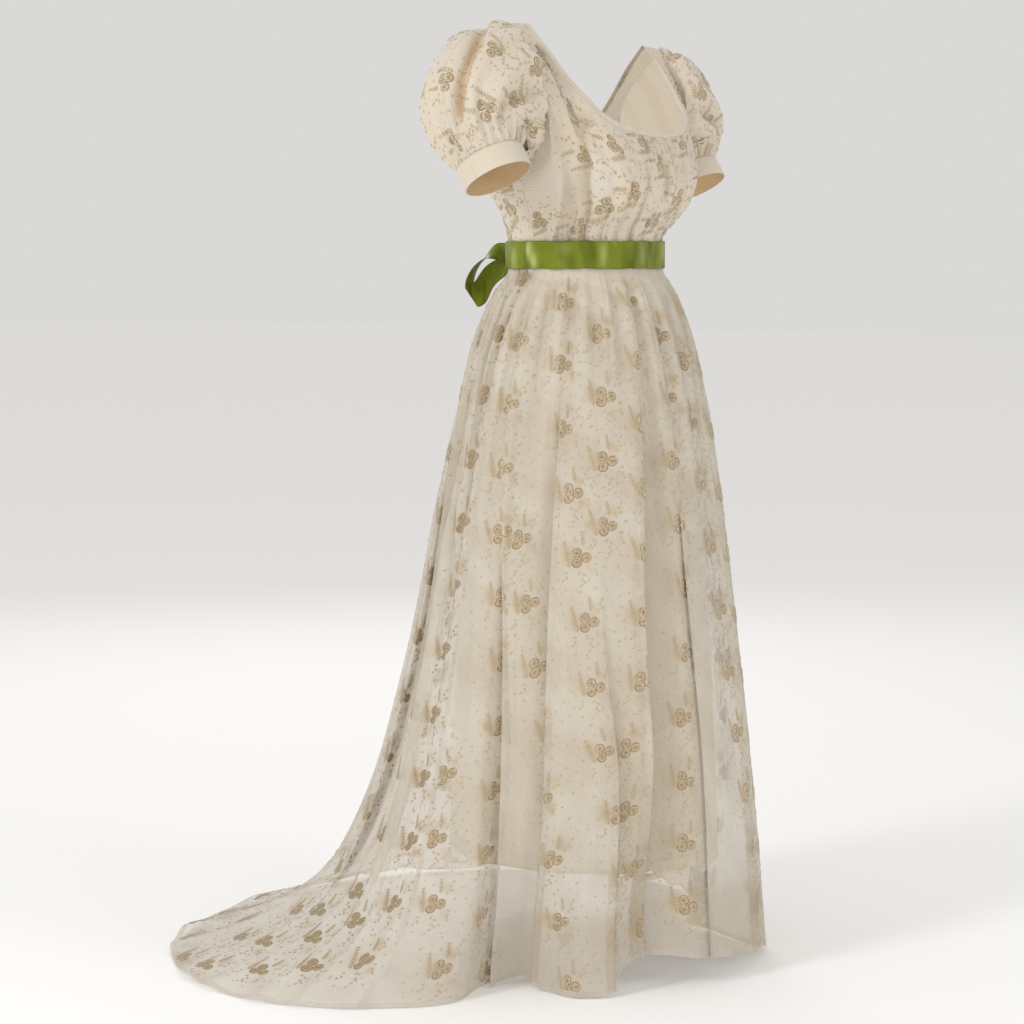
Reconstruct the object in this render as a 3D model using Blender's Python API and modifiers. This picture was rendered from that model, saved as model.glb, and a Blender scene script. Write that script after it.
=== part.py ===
"""A high-waisted Regency gown in sheer embroidered cloth over an opaque lining, with puffed sleeves,
a satin sash tied at the back and a round train. Each panel is a thin shell with open hems.

Metres. +Z is up and the gown faces -Y, so the wearer's right is at -X. The origin is midway between
the tops of the shoulder straps, of which the left hangs a little lower. Tables give heights above
the floor. Round the gown, an angle of 0 is the centre front, 90 the wearer's right side and 180 the
centre back. A panel's share is how far along it a point lies, away from the waist or the armhole.
"""

import math

import bpy
import numpy as np

ORIGIN_HEIGHT = 1.382
# The left shoulder hangs lower: by how much, between which heights it grows, and how wide it fades.
LEFT_DROP = 0.014
DROP_HEIGHTS = (1.12, 1.32)
DROP_FADE_WIDTH = 0.30
WAIST_HEIGHT = 1.060
WAIST_HALF_WIDTH = 0.1305
WAIST_HALF_DEPTH = 0.1045

BODICE_WALL = 0.0015
SHEER_WALL = 0.0010
LINING_WALL = 0.0010
SLEEVE_WALL = 0.0010
CUFF_WALL = 0.0016
RIBBON_WALL = 0.0010
SEAM_GAP = 0.0003
LAYER_GAP = 0.0018
ARMHOLE_GAP = 0.0024

SASH_WIDTH = 0.040
BINDING_WIDTH = 0.008
CUFF_WIDTH = 0.030

# The skirt held by the sash: columns are angle, x, y, height, sweep. Sweep is 0 where a line down
# the cloth hangs straight and 1 where it runs out along the floor.
CALM_HEM = (
    (0, 0.000, -0.262, 0.036, 0.00),
    (15, -0.075, -0.255, 0.036, 0.00),
    (30, -0.146, -0.229, 0.030, 0.00),
    (45, -0.205, -0.178, 0.016, 0.00),
    (60, -0.252, -0.104, 0.008, 0.10),
    (70, -0.290, -0.048, 0.004, 0.25),
    (80, -0.346, 0.010, 0.002, 0.42),
    (90, -0.418, 0.082, 0.002, 0.56),
    (105, -0.468, 0.157, 0.002, 0.75),
    (118, -0.486, 0.236, 0.002, 0.90),
    (132, -0.468, 0.338, 0.002, 1.00),
    (146, -0.402, 0.455, 0.002, 1.00),
    (160, -0.284, 0.562, 0.002, 1.00),
    (170, -0.150, 0.622, 0.002, 1.00),
    (180, 0.000, 0.642, 0.002, 1.00),
)

# Where the hem lies once its deep folds have formed: angle, x, y, height. The left front has none.
# The folds form below a share of the skirt's length.
HEM_FOLDS_START = 0.66
LEFT_HEM = (
    (-90, 0.424, 0.078, 0.002),
    (-82, 0.362, 0.016, 0.002),
    (-74, 0.300, -0.020, 0.002),
    (-66, 0.252, -0.036, 0.008),
    (-57, 0.240, -0.090, 0.003),
    (-46, 0.226, -0.158, 0.002),
    (-37, 0.184, -0.208, 0.010),
    (-27, 0.140, -0.228, 0.022),
    (-14, 0.068, -0.246, 0.030),
)
RIGHT_HEM = (
    (0, 0.000, -0.250, 0.038),
    (12, -0.052, -0.238, 0.044),
    (22, -0.096, -0.204, 0.049),
    (29, -0.122, -0.168, 0.046),
    (35, -0.160, -0.172, 0.012),
    (42, -0.192, -0.150, 0.003),
    (50, -0.204, -0.106, 0.002),
    (57, -0.194, -0.058, 0.004),
    (63, -0.186, -0.018, 0.012),
    (69, -0.222, 0.002, 0.004),
    (76, -0.300, -0.002, 0.002),
    (83, -0.366, 0.014, 0.002),
    (90, -0.426, 0.080, 0.002),
    (105, -0.470, 0.156, 0.002),
    (118, -0.490, 0.236, 0.002),
    (132, -0.474, 0.342, 0.002),
    (146, -0.408, 0.462, 0.002),
    (160, -0.288, 0.570, 0.002),
    (170, -0.152, 0.628, 0.002),
    (180, 0.000, 0.648, 0.002),
)

# A line down the skirt: share of its length, reach and drop where it hangs, reach and drop where it
# sweeps. Reach is the share of the way out to the hem, and drop the share of the way down.
SKIRT_FALL = (
    (0.000, 0.000, 0.000, 0.000, 0.000),
    (0.020, 0.001, 0.020, 0.000, 0.020),
    (0.050, 0.110, 0.050, 0.046, 0.054),
    (0.100, 0.245, 0.100, 0.096, 0.108),
    (0.200, 0.410, 0.200, 0.154, 0.219),
    (0.320, 0.530, 0.320, 0.215, 0.356),
    (0.443, 0.635, 0.443, 0.268, 0.496),
    (0.568, 0.740, 0.568, 0.336, 0.636),
    (0.660, 0.812, 0.660, 0.394, 0.734),
    (0.750, 0.872, 0.750, 0.480, 0.833),
    (0.813, 0.910, 0.813, 0.548, 0.889),
    (0.860, 0.935, 0.860, 0.628, 0.927),
    (0.918, 0.962, 0.918, 0.778, 0.964),
    (0.966, 0.985, 0.966, 0.920, 0.988),
    (1.000, 1.000, 1.000, 1.000, 1.000),
)

# Lengthwise folds of the overskirt: angle, depth, half width in degrees, share where it starts,
# share where it is full, drift in degrees by the hem.
SKIRT_FOLDS = (
    (-2, 0.004, 4.0, 0.04, 0.30, 1),
    (14, 0.005, 3.6, 0.10, 0.40, -1),
    (32, 0.010, 3.4, 0.03, 0.22, -3),
    (45, 0.005, 3.0, 0.02, 0.25, 2),
    (55, 0.006, 3.2, 0.04, 0.35, 2),
    (67, 0.007, 3.4, 0.05, 0.45, -3),
    (82, 0.011, 3.2, 0.04, 0.20, -5),
    (94, 0.007, 3.0, 0.05, 0.30, -2),
    (104, 0.008, 3.0, 0.04, 0.35, 2),
    (115, 0.009, 3.2, 0.05, 0.30, 2),
    (128, 0.007, 3.4, 0.04, 0.40, 3),
    (141, 0.009, 3.2, 0.05, 0.30, -2),
    (153, 0.007, 3.0, 0.04, 0.35, 2),
    (165, 0.010, 3.2, 0.05, 0.30, -2),
    (177, 0.007, 3.0, 0.04, 0.40, 2),
    (189, 0.009, 3.0, 0.05, 0.30, 3),
    (201, 0.008, 3.2, 0.04, 0.35, -2),
    (212, 0.010, 3.2, 0.05, 0.30, 2),
    (225, 0.007, 3.0, 0.04, 0.40, -3),
    (237, 0.008, 3.4, 0.05, 0.30, 2),
    (249, 0.009, 3.0, 0.04, 0.35, 2),
    (262, 0.007, 3.2, 0.05, 0.30, -2),
    (-86, 0.010, 3.2, 0.04, 0.30, 4),
    (-72, 0.006, 3.2, 0.05, 0.40, 3),
    (-59, 0.008, 3.4, 0.04, 0.30, -2),
    (-44, 0.006, 3.2, 0.05, 0.35, 3),
    (-29, 0.007, 3.6, 0.04, 0.40, 2),
    (-16, 0.005, 3.6, 0.08, 0.35, -2),
)
FRONT_GATHERS = 14
BACK_GATHERS = 18
# Share of the length and height of the small gathers under the sash.
GATHER_HEIGHT = (
    (0.000, 0.0006),
    (0.024, 0.0006),
    (0.060, 0.0024),
    (0.100, 0.0030),
    (0.200, 0.0018),
    (0.380, 0.0000),
    (1.000, 0.0000),
)
# How the gathers vary round the gown: weight, waves round it, turn in degrees.
GATHER_VARIATIONS = ((0.11, 5, 40), (0.09, 3, 0))
GATHER_EVENNESS = 0.75

# The lining: share of its length, half width, half depth, height.
LINING_FALL = (
    (0.00, 0.1285, 0.1025, 1.0600),
    (0.03, 0.1288, 0.1028, 1.0360),
    (0.12, 0.1400, 0.1220, 0.9560),
    (0.25, 0.1560, 0.1480, 0.8450),
    (0.45, 0.1710, 0.1750, 0.6650),
    (0.70, 0.1800, 0.1960, 0.4400),
    (1.00, 0.1850, 0.2100, 0.1700),
)
# Soft waves round the lining: number, height, turn in degrees, radius that the height is meant for.
LINING_WAVES = 9
LINING_WAVE_HEIGHT = 0.003
LINING_WAVE_TURN = 20
LINING_RADIUS = 0.19

# Guide lines of the bodice front, from the waist up to its top edge: angle, x, y, height.
FRONT_SASH_LINE = (
    (0, 0.000, -0.1050, 1.0835),
    (22, -0.0495, -0.0972, 1.0835),
    (45, -0.0930, -0.0742, 1.0835),
    (57, -0.1105, -0.0570, 1.0835),
    (75, -0.1268, -0.0270, 1.0835),
    (90, -0.1312, 0.0000, 1.0835),
)
FRONT_UNDER_BUST = (
    (0, 0.000, -0.1300, 1.126),
    (22, -0.0620, -0.1285, 1.126),
    (40, -0.1020, -0.1070, 1.127),
    (57, -0.1290, -0.0745, 1.128),
    (75, -0.1430, -0.0330, 1.127),
    (90, -0.1460, 0.0000, 1.125),
)
FRONT_BUST = (
    (0, 0.000, -0.1420, 1.168),
    (15, -0.0460, -0.1440, 1.168),
    (30, -0.0930, -0.1350, 1.172),
    (40, -0.1200, -0.1170, 1.178),
    (50, -0.1400, -0.0930, 1.184),
    (57, -0.1500, -0.0760, 1.182),
    (70, -0.1570, -0.0440, 1.166),
    (80, -0.1580, -0.0200, 1.156),
    (90, -0.1570, 0.0000, 1.152),
)
FRONT_CHEST = (
    (0, 0.000, -0.1350, 1.204),
    (15, -0.0500, -0.1345, 1.206),
    (28, -0.1000, -0.1210, 1.216),
    (35, -0.1260, -0.1050, 1.228),
    (41, -0.1440, -0.0900, 1.243),
    (46, -0.1560, -0.0770, 1.262),
    (50, -0.1640, -0.0680, 1.284),
    (57, -0.1820, -0.0600, 1.280),
    (64, -0.1800, -0.0600, 1.250),
    (72, -0.1720, -0.0560, 1.218),
    (80, -0.1660, -0.0400, 1.192),
    (90, -0.1610, 0.0000, 1.174),
)
FRONT_EDGE = (
    (0, 0.000, -0.1230, 1.235),
    (15, -0.0520, -0.1200, 1.2385),
    (28, -0.1040, -0.1070, 1.2530),
    (35, -0.1310, -0.0920, 1.2770),
    (41, -0.1470, -0.0670, 1.3080),
    (46, -0.1550, -0.0350, 1.3500),
    (50, -0.1570, -0.0010, 1.3880),
    (57, -0.1950, -0.0010, 1.3840),
    (64, -0.1930, -0.0380, 1.3450),
    (72, -0.1850, -0.0560, 1.2850),
    (80, -0.1740, -0.0480, 1.2290),
    (86, -0.1670, -0.0240, 1.2010),
    (90, -0.1640, 0.0000, 1.1940),
)

# Guide lines of the bodice back, in the same way.
BACK_SASH_LINE = (
    (90, -0.1312, 0.0000, 1.0835),
    (105, -0.1268, 0.0270, 1.0835),
    (123, -0.1105, 0.0570, 1.0835),
    (135, -0.0930, 0.0740, 1.0835),
    (158, -0.0495, 0.0968, 1.0835),
    (180, 0.0000, 0.1045, 1.0835),
)
BACK_UNDER_BUST = (
    (90, -0.1460, 0.0000, 1.125),
    (105, -0.1420, 0.0320, 1.125),
    (123, -0.1220, 0.0680, 1.126),
    (140, -0.0900, 0.0900, 1.126),
    (158, -0.0500, 0.1030, 1.126),
    (180, 0.0000, 0.1070, 1.126),
)
BACK_BUST = (
    (90, -0.1570, 0.0000, 1.152),
    (100, -0.1570, 0.0300, 1.156),
    (110, -0.1510, 0.0580, 1.164),
    (123, -0.1360, 0.0830, 1.172),
    (130, -0.1230, 0.0920, 1.172),
    (145, -0.0860, 0.1050, 1.168),
    (160, -0.0480, 0.1110, 1.166),
    (180, 0.0000, 0.1130, 1.165),
)
BACK_CHEST = (
    (90, -0.1610, 0.0000, 1.174),
    (100, -0.1660, 0.0400, 1.192),
    (108, -0.1690, 0.0640, 1.220),
    (116, -0.1700, 0.0760, 1.254),
    (123, -0.1760, 0.0720, 1.290),
    (130, -0.1610, 0.0790, 1.2840),
    (134, -0.1510, 0.0870, 1.2580),
    (139, -0.1350, 0.0950, 1.2350),
    (145, -0.1150, 0.1015, 1.2190),
    (152, -0.0900, 0.1065, 1.2080),
    (165, -0.0460, 0.1120, 1.2010),
    (180, 0.0000, 0.1140, 1.1990),
)
BACK_EDGE = (
    (90, -0.1640, 0.0000, 1.1940),
    (94, -0.1670, 0.0250, 1.2010),
    (100, -0.1740, 0.0510, 1.2310),
    (108, -0.1840, 0.0640, 1.2880),
    (116, -0.1930, 0.0420, 1.3460),
    (123, -0.1950, 0.0010, 1.3840),
    (130, -0.1570, 0.0010, 1.3880),
    (134, -0.1600, 0.0330, 1.3530),
    (139, -0.1560, 0.0610, 1.3080),
    (145, -0.1420, 0.0830, 1.2680),
    (152, -0.1130, 0.0970, 1.2440),
    (165, -0.0580, 0.1070, 1.2330),
    (180, 0.0000, 0.1100, 1.2300),
)
# How far up the panel each guide line lies.
GUIDE_SHARES = (0.0, 0.15, 0.35, 0.60, 0.80, 1.0)
STRAP_ANGLES = (50.0, 57.0)
# Heights that the neck binding leans towards, at the middle of the neckline and at the straps.
NECK_AIM_HEIGHTS = (1.60, 1.42)

# Gathers of the bodice: angle, depth, half width in degrees, share where it starts, where it ends.
# Each grows and fades over a share of the panel's height, and one that ends at 1 runs off its edge.
BODICE_FOLD_FADE = 0.14
BODICE_FOLDS = (
    (3, 0.0022, 3.2, 0.30, 1.00),
    (-7, 0.0020, 3.0, 0.50, 1.00),
    (-15, 0.0024, 3.0, 0.20, 1.00),
    (-24, 0.0018, 3.0, 0.10, 0.90),
    (11, 0.0026, 3.0, 0.20, 1.00),
    (20, 0.0020, 3.0, 0.45, 1.00),
    (27, 0.0018, 3.0, 0.10, 0.60),
    (36, 0.0024, 3.2, 0.08, 0.85),
    (48, 0.0020, 3.0, 0.06, 0.55),
    (62, 0.0024, 3.4, 0.06, 0.60),
    (-35, 0.0020, 3.0, 0.08, 0.80),
    (-48, 0.0022, 3.2, 0.06, 0.60),
    (-63, 0.0022, 3.4, 0.06, 0.60),
)

# Rings of the right sleeve from the armhole to the cuff: share, centre x, y, height, tilt of the
# ring's upper side outwards, rise of its front side, half height, half width. Angles in degrees.
SLEEVE_RINGS = (
    (0.14, -0.2020, 0.0080, 1.2880, 8, 0, 0.1010, 0.0770),
    (0.36, -0.2270, 0.0150, 1.2770, 25, 0, 0.1030, 0.0850),
    (0.60, -0.2530, 0.0160, 1.2530, 46, 8, 0.0920, 0.0840),
    (0.82, -0.2610, 0.0040, 1.2240, 70, 20, 0.0730, 0.0710),
    (1.00, -0.2550, -0.0130, 1.1930, 90, 28.6, 0.0490, 0.0490),
)
SLEEVE_GATHERS = 11
SLEEVE_GATHER_HEIGHT = ((0.0, 0.0010), (0.15, 0.0035), (0.5, 0.0025), (0.85, 0.0032), (1.0, 0.0004))
# Unevenness of the gathers in degrees, and the deep crease: turn, depth, half width in degrees.
SLEEVE_GATHER_TURN = 25
SLEEVE_CREASE = (8, 0.010, 9.0)
CUFF_AXIS = (0.0, -0.478, -0.878)

# The right loop of the bow: x, y, height of the ribbon's middle, then its width's direction.
BOW_LOOP = (
    (-0.0173, 0.1165, 1.062, 0.00, 0.10, 1.00),
    (-0.030, 0.140, 1.065, 0.50, 0.35, 0.80),
    (-0.048, 0.151, 1.056, 0.82, 0.57, 0.10),
    (-0.062, 0.161, 1.036, 0.82, 0.50, -0.30),
    (-0.068, 0.165, 1.010, 0.78, 0.20, -0.60),
    (-0.064, 0.164, 0.996, 0.65, -0.10, -0.70),
    (-0.053, 0.157, 1.004, 0.50, -0.25, -0.75),
    (-0.038, 0.147, 1.030, 0.30, -0.25, -0.90),
    (-0.0173, 0.1205, 1.052, 0.00, -0.20, -1.00),
)
# The ribbon is narrower where the knot gathers it: share of its width there, and share that it gains.
LOOP_WIDTHS = (0.55, 0.40)
# A tail of the bow: x, height, ribbon width. It hangs from under the knot on the back of the skirt.
BOW_TAILS = {
    "bow_tail_right": (
        (-0.0060, 1.0406, 0.011),
        (-0.0080, 0.985, 0.034),
        (0.0000, 0.920, 0.040),
        (0.0100, 0.820, 0.040),
        (0.0160, 0.720, 0.040),
        (0.0200, 0.640, 0.040),
    ),
    "bow_tail_left": (
        (0.0065, 1.0406, 0.011),
        (0.0360, 0.985, 0.034),
        (0.0600, 0.920, 0.040),
        (0.0740, 0.820, 0.040),
        (0.0820, 0.720, 0.040),
        (0.0880, 0.670, 0.040),
    ),
}
TAIL_CLEARANCE = 0.0040
TAIL_INNERMOST = 0.1125
KNOT_SIZE = (0.034, 0.020, 0.036)
KNOT_CENTRE = (0.0, 0.11835, 1.0590)
# The knot's outline: sharpness of its rounding, how far in its ends draw, and its least share of width.
KNOT_ROUNDING = 0.7
KNOT_TAPER = 7.0
KNOT_END_WIDTH = 0.5

# Shares of the skirt's length where its rows of points lie.
SKIRT_ROWS = (0.0, 0.022, 0.05, 0.10, 0.18, 0.29, 0.41, 0.53, 0.65, 0.76, 0.85, 0.93, 1.0)
BODICE_ROWS = (0.0, 0.12, 0.26, 0.40, 0.53, 0.66, 0.78, 0.89, 1.0)
SLEEVE_ROWS = (0.0, 0.08, 0.21, 0.36, 0.52, 0.68, 0.82, 0.93, 1.0)
LINING_ROWS = (0.0, 0.03, 0.12, 0.26, 0.42, 0.60, 0.80, 1.0)
FRONT_SKIRT_COLUMNS = 60
BACK_SKIRT_COLUMNS = 72
LINING_COLUMNS = 22
SLEEVE_COLUMNS = 40
SASH_COLUMNS = 48
CUFF_COLUMNS = 28
LOOP_POINTS = 19
TAIL_POINTS = 12
KNOT_ROWS = 7
KNOT_COLUMNS = 14
# Columns of a bodice panel from its middle to the strap, across the strap and on to its side.
FRONT_PANEL_COLUMNS = (17, 4, 8)
BACK_PANEL_COLUMNS = (9, 4, 8)

# Colour and roughness of each cloth.
CLOTHS = {
    "sheer": ((0.76, 0.70, 0.58), 0.80),
    "lining": ((0.84, 0.77, 0.64), 0.85),
    "satin": ((0.20, 0.30, 0.04), 0.35),
}


def calmed(slopes, knots, values):
    """The slopes held back where a smooth line would swing past the table's values."""
    steps = np.diff(values, axis=0) / np.diff(knots).reshape((-1,) + (1,) * (values.ndim - 1))
    for end in (slice(None, -1), slice(1, None)):
        here = slopes[end]
        low, high = np.minimum(3 * steps, 0), np.maximum(3 * steps, 0)
        slopes[end] = np.clip(here, low, high)
    return slopes


def follow(table, at):
    """Points of a smooth line through a table whose first column says where each row is."""
    table = np.array(table, float)
    knots, values = table[:, 0], table[:, 1:]
    slopes = calmed(np.gradient(values, knots, axis=0), knots, values)
    at = np.asarray(at, float)
    i = np.clip(np.searchsorted(knots, at, side="right") - 1, 0, len(knots) - 2)
    span = (knots[i + 1] - knots[i])[..., None]
    x = np.clip((at[..., None] - knots[i][..., None]) / span, 0, 1)
    return (
        values[i] * (1 + 2 * x) * (1 - x) ** 2
        + values[i + 1] * (3 - 2 * x) * x**2
        + slopes[i] * span * x * (1 - x) ** 2
        - slopes[i + 1] * span * (1 - x) * x**2
    )


def all_round(half):
    """The right half's table, from centre front to centre back, continued on both sides."""
    half = np.array(half, float)
    other = half[::-1].copy()
    other[:, 1] *= -1
    before, after = other.copy(), other.copy()
    before[:, 0] = -before[:, 0]
    after[:, 0] = 360 - after[:, 0]
    return np.concatenate([before[:-1], half, after[1:]])


def mirrored_about(table, middle):
    """A table that starts or ends at the gown's middle, continued on the other side of it."""
    table = np.array(table, float)
    other = table[::-1].copy()
    other[:, 0] = 2 * middle - other[:, 0]
    other[:, 1] *= -1
    if middle == table[0, 0]:
        return np.concatenate([other[:-1], table])
    return np.concatenate([table, other[1:]])


def ease(x):
    x = np.clip(x, 0, 1)
    return x * x * (3 - 2 * x)


def ellipse(angle, half_width, half_depth):
    turn = np.radians(angle)
    return np.stack([-half_width * np.sin(turn), -half_depth * np.cos(turn)], axis=-1)


def unit(vectors):
    return vectors / np.maximum(np.linalg.norm(vectors, axis=-1, keepdims=True), 1e-12)


def raised(surface, heights, angle, share, step_angle=0.5, step_share=0.004):
    """Points of a surface moved along its outward normal by heights(angle, share)."""
    low, high = np.clip(share - step_share, 0, 1), np.clip(share + step_share, 0, 1)
    around = surface(angle + step_angle, share) - surface(angle - step_angle, share)
    along = surface(angle, high) - surface(angle, low)
    normal = unit(np.cross(along, around))
    return surface(angle, share) + normal * heights(angle, share)[..., None]


def skirt_base(angle, share):
    """The overskirt without its folds."""
    waist = ellipse(angle, WAIST_HALF_WIDTH, WAIST_HALF_DEPTH)
    calm = follow(all_round(CALM_HEM), angle)
    folded = follow(HEM, angle)
    settled = ease((share - HEM_FOLDS_START) / (1 - HEM_FOLDS_START))[..., None]
    foot = calm[..., :3] + (folded - calm[..., :3]) * settled
    sweep = np.clip(calm[..., 3], 0, 1)[..., None]
    fall = follow(SKIRT_FALL, share)
    way = fall[..., :2] * (1 - sweep) + fall[..., 2:] * sweep
    plan = waist + (foot[..., :2] - waist) * way[..., :1]
    height = WAIST_HEIGHT + (foot[..., 2:] - WAIST_HEIGHT) * way[..., 1:]
    return np.concatenate([plan, height], axis=-1)


def gather_wave(angle):
    """Uneven gathers round the waist, -1 to 1."""
    front = (angle + 90) * FRONT_GATHERS
    back = (angle - 90) * BACK_GATHERS
    turn = np.where(np.abs(angle) <= 90, front, back) * 2
    height = GATHER_EVENNESS
    for weight, waves, start in GATHER_VARIATIONS:
        height = height + weight * np.sin(np.radians(angle * waves + start))
    return -np.cos(np.radians(turn)) * height


def turn_between(angle, middle):
    return (angle - middle + 180) % 360 - 180


def skirt_folds(angle, share):
    height = np.zeros(np.broadcast(angle, share).shape)
    for middle, depth, half_width, start, full, drift in SKIRT_FOLDS:
        away = turn_between(angle, middle + drift * share) / half_width
        grown = ease((share - start) / (full - start))
        height = height - depth * np.exp(-away * away) * grown
    gather = follow(GATHER_HEIGHT, share)[..., 0]
    return height + gather * gather_wave(angle)


def skirt_points(angle, share):
    points = raised(skirt_base, skirt_folds, angle, share)
    points[..., 2] = np.maximum(points[..., 2], SHEER_WALL)
    return points


def lining_base(angle, share):
    fall = follow(LINING_FALL, share)
    turn = np.radians(angle)
    wave = LINING_WAVE_HEIGHT / LINING_RADIUS * ease(share * 1.6)
    swell = 1 + wave * np.sin(np.radians((angle + LINING_WAVE_TURN) * LINING_WAVES))
    x = -fall[..., 0] * np.sin(turn) * swell
    y = -fall[..., 1] * np.cos(turn) * swell
    return np.stack([x, y, fall[..., 2] + 0 * x], axis=-1)


def panel_base(guides, middle):
    """A bodice panel through its guide lines, from the waist seam to its top edge."""
    lines = [mirrored_about(guide, middle) for guide in guides]

    def surface(angle, share):
        waist = ellipse(angle, WAIST_HALF_WIDTH, WAIST_HALF_DEPTH)
        bottom = np.concatenate([waist, np.full(waist.shape[:-1] + (1,), WAIST_HEIGHT)], axis=-1)
        rows = [bottom] + [follow(line, angle) for line in lines]
        rows = np.stack(np.broadcast_arrays(*rows))
        knots = np.array(GUIDE_SHARES)
        slopes = calmed(np.gradient(rows, knots, axis=0), knots, rows)
        i = np.clip(np.searchsorted(knots, share, side="right") - 1, 0, len(knots) - 2)
        i = np.broadcast_to(i, rows.shape[1:-1])
        x = (share - knots[i]) / (knots[i + 1] - knots[i])
        span, x = (knots[i + 1] - knots[i])[..., None], x[..., None]

        def picked(stack, index):
            return np.take_along_axis(stack, index[None, ..., None], axis=0)[0]

        return (
            picked(rows, i) * (1 + 2 * x) * (1 - x) ** 2
            + picked(rows, i + 1) * (3 - 2 * x) * x**2
            + picked(slopes, i) * span * x * (1 - x) ** 2
            - picked(slopes, i + 1) * span * (1 - x) * x**2
        )

    return surface


def bodice_folds(angle, share):
    height = np.zeros(np.broadcast(angle, share).shape)
    for middle, depth, half_width, start, end in BODICE_FOLDS:
        away = turn_between(angle, middle) / half_width
        grown = ease((share - start + BODICE_FOLD_FADE) / BODICE_FOLD_FADE)
        if end < 1:
            grown = grown * ease((end - share + BODICE_FOLD_FADE) / BODICE_FOLD_FADE)
        height = height - depth * np.exp(-away * away) * grown
    return height


# The whole hem, with the left front's rows in their places at both ends of the table.
HEM = all_round(RIGHT_HEM)
HEM = np.concatenate([HEM[HEM[:, 0] < -90], LEFT_HEM, HEM[HEM[:, 0] >= 0]])
HEM[HEM[:, 0] > 262, 1:] = follow(HEM[HEM[:, 0] < 0], HEM[HEM[:, 0] > 262, 0] - 360)
front_base = panel_base((FRONT_SASH_LINE, FRONT_UNDER_BUST, FRONT_BUST, FRONT_CHEST, FRONT_EDGE), 0)
back_base = panel_base((BACK_SASH_LINE, BACK_UNDER_BUST, BACK_BUST, BACK_CHEST, BACK_EDGE), 180)


def grid(points_at, angles, shares):
    angle, share = np.meshgrid(np.asarray(angles, float), np.asarray(shares, float))
    return points_at(angle, share)


def pulled_in(points, distance=SEAM_GAP / 2):
    """A panel's points with its side edges drawn back from the seam line."""
    points = points.copy()
    points[:, 0] += unit(points[:, 1] - points[:, 0]) * distance
    points[:, -1] += unit(points[:, -2] - points[:, -1]) * distance
    return points


def material(name, cloth):
    colour, roughness = CLOTHS[cloth]
    made = bpy.data.materials.new(name)
    made.use_nodes = True
    bsdf = made.node_tree.nodes["Principled BSDF"]
    bsdf.inputs["Base Color"].default_value = (*colour, 1)
    bsdf.inputs["Roughness"].default_value = roughness
    bsdf.inputs["Metallic"].default_value = 0
    made.diffuse_color = (*colour, 1)
    return made


def leaning(points):
    """The points with the left shoulder let down."""
    points = np.array(points, float)
    low, high = DROP_HEIGHTS
    up = ease((points[..., 2] - low) / (high - low))
    points[..., 2] -= LEFT_DROP * up * np.clip(0.5 + points[..., 0] / DROP_FADE_WIDTH, 0, 1)
    return points


def shell(name, points, wall, cloth, closed=False):
    """A thin wall on a grid of points, given from its first edge to its last. Heights become z."""
    points = leaning(points)
    points[..., 2] -= ORIGIN_HEIGHT
    rows, columns = points.shape[:2]
    around = columns if closed else columns - 1
    faces = [
        (r * columns + c, r * columns + (c + 1) % columns,
         (r + 1) * columns + (c + 1) % columns, (r + 1) * columns + c)
        for r in range(rows - 1)
        for c in range(around)
    ]
    mesh = bpy.data.meshes.new(name)
    mesh.from_pydata([tuple(p) for p in points.reshape(-1, 3)], [], faces)
    mesh.shade_smooth()
    mesh.materials.append(material(name, cloth))
    made = bpy.data.objects.new(name, mesh)
    gown.objects.link(made)
    solid = made.modifiers.new("wall", "SOLIDIFY")
    solid.thickness = wall
    solid.offset = 0


def mirrored(points):
    """A piece of the right side turned into its match on the left."""
    return points[:, ::-1] * (-1, 1, 1)


def make_skirt():
    front = np.linspace(-90, 90, FRONT_SKIRT_COLUMNS + 1)
    back = np.linspace(90, 270, BACK_SKIRT_COLUMNS + 1)
    for name, angles in (("skirt_front", front), ("skirt_back", back)):
        points = pulled_in(grid(skirt_points, angles, SKIRT_ROWS))
        points[0, :, 2] -= SEAM_GAP / 2
        shell(name, points, SHEER_WALL, "sheer")


def make_lining():
    for name, start in (("lining_front", -90), ("lining_back", 90)):
        angles = np.linspace(start, start + 180, LINING_COLUMNS + 1)
        points = pulled_in(grid(lining_base, angles, LINING_ROWS))
        points[0, :, 2] -= SEAM_GAP / 2
        shell(name, points, LINING_WALL, "lining")


def half_columns(counts):
    """Angles of a panel's columns from its middle to its side seam."""
    stops = (0, *STRAP_ANGLES, 90)
    runs = [np.linspace(stops[k], stops[k + 1], counts[k]) for k in range(len(counts))]
    return np.concatenate([runs[0], runs[1][1:], runs[2][1:]])


def front_columns():
    half = half_columns(FRONT_PANEL_COLUMNS)
    return np.concatenate([-half[::-1], half[1:]])


def back_columns():
    return 180 - half_columns(BACK_PANEL_COLUMNS)[::-1]


def front_points(angle, share):
    return raised(front_base, bodice_folds, angle, share)


def make_bodice():
    points = pulled_in(grid(front_points, front_columns(), BODICE_ROWS))
    points[0, :, 2] += SEAM_GAP / 2
    shell("bodice_front", points, BODICE_WALL, "sheer")
    right = pulled_in(grid(back_base, back_columns(), BODICE_ROWS))
    right[0, :, 2] += SEAM_GAP / 2
    shell("bodice_back_right", right, BODICE_WALL, "sheer")
    shell("bodice_back_left", mirrored(right), BODICE_WALL, "sheer")


def neckline(surface, angles, middle):
    """A panel's neck edge, and the way out past it, square to the edge and towards the neck."""
    ones = np.ones_like(angles)
    near = np.clip(angles, angles[0] + 0.5, angles[-1] - 0.5)
    along = unit(surface(near + 0.3, ones) - surface(near - 0.3, ones))
    edge = surface(angles, ones)
    aim = np.zeros_like(edge)
    aim[:, 2] = np.interp(np.abs(angles - middle), (0, STRAP_ANGLES[0]), NECK_AIM_HEIGHTS)
    inward = aim - edge
    return edge, unit(inward - along * np.sum(inward * along, axis=-1, keepdims=True))


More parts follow.
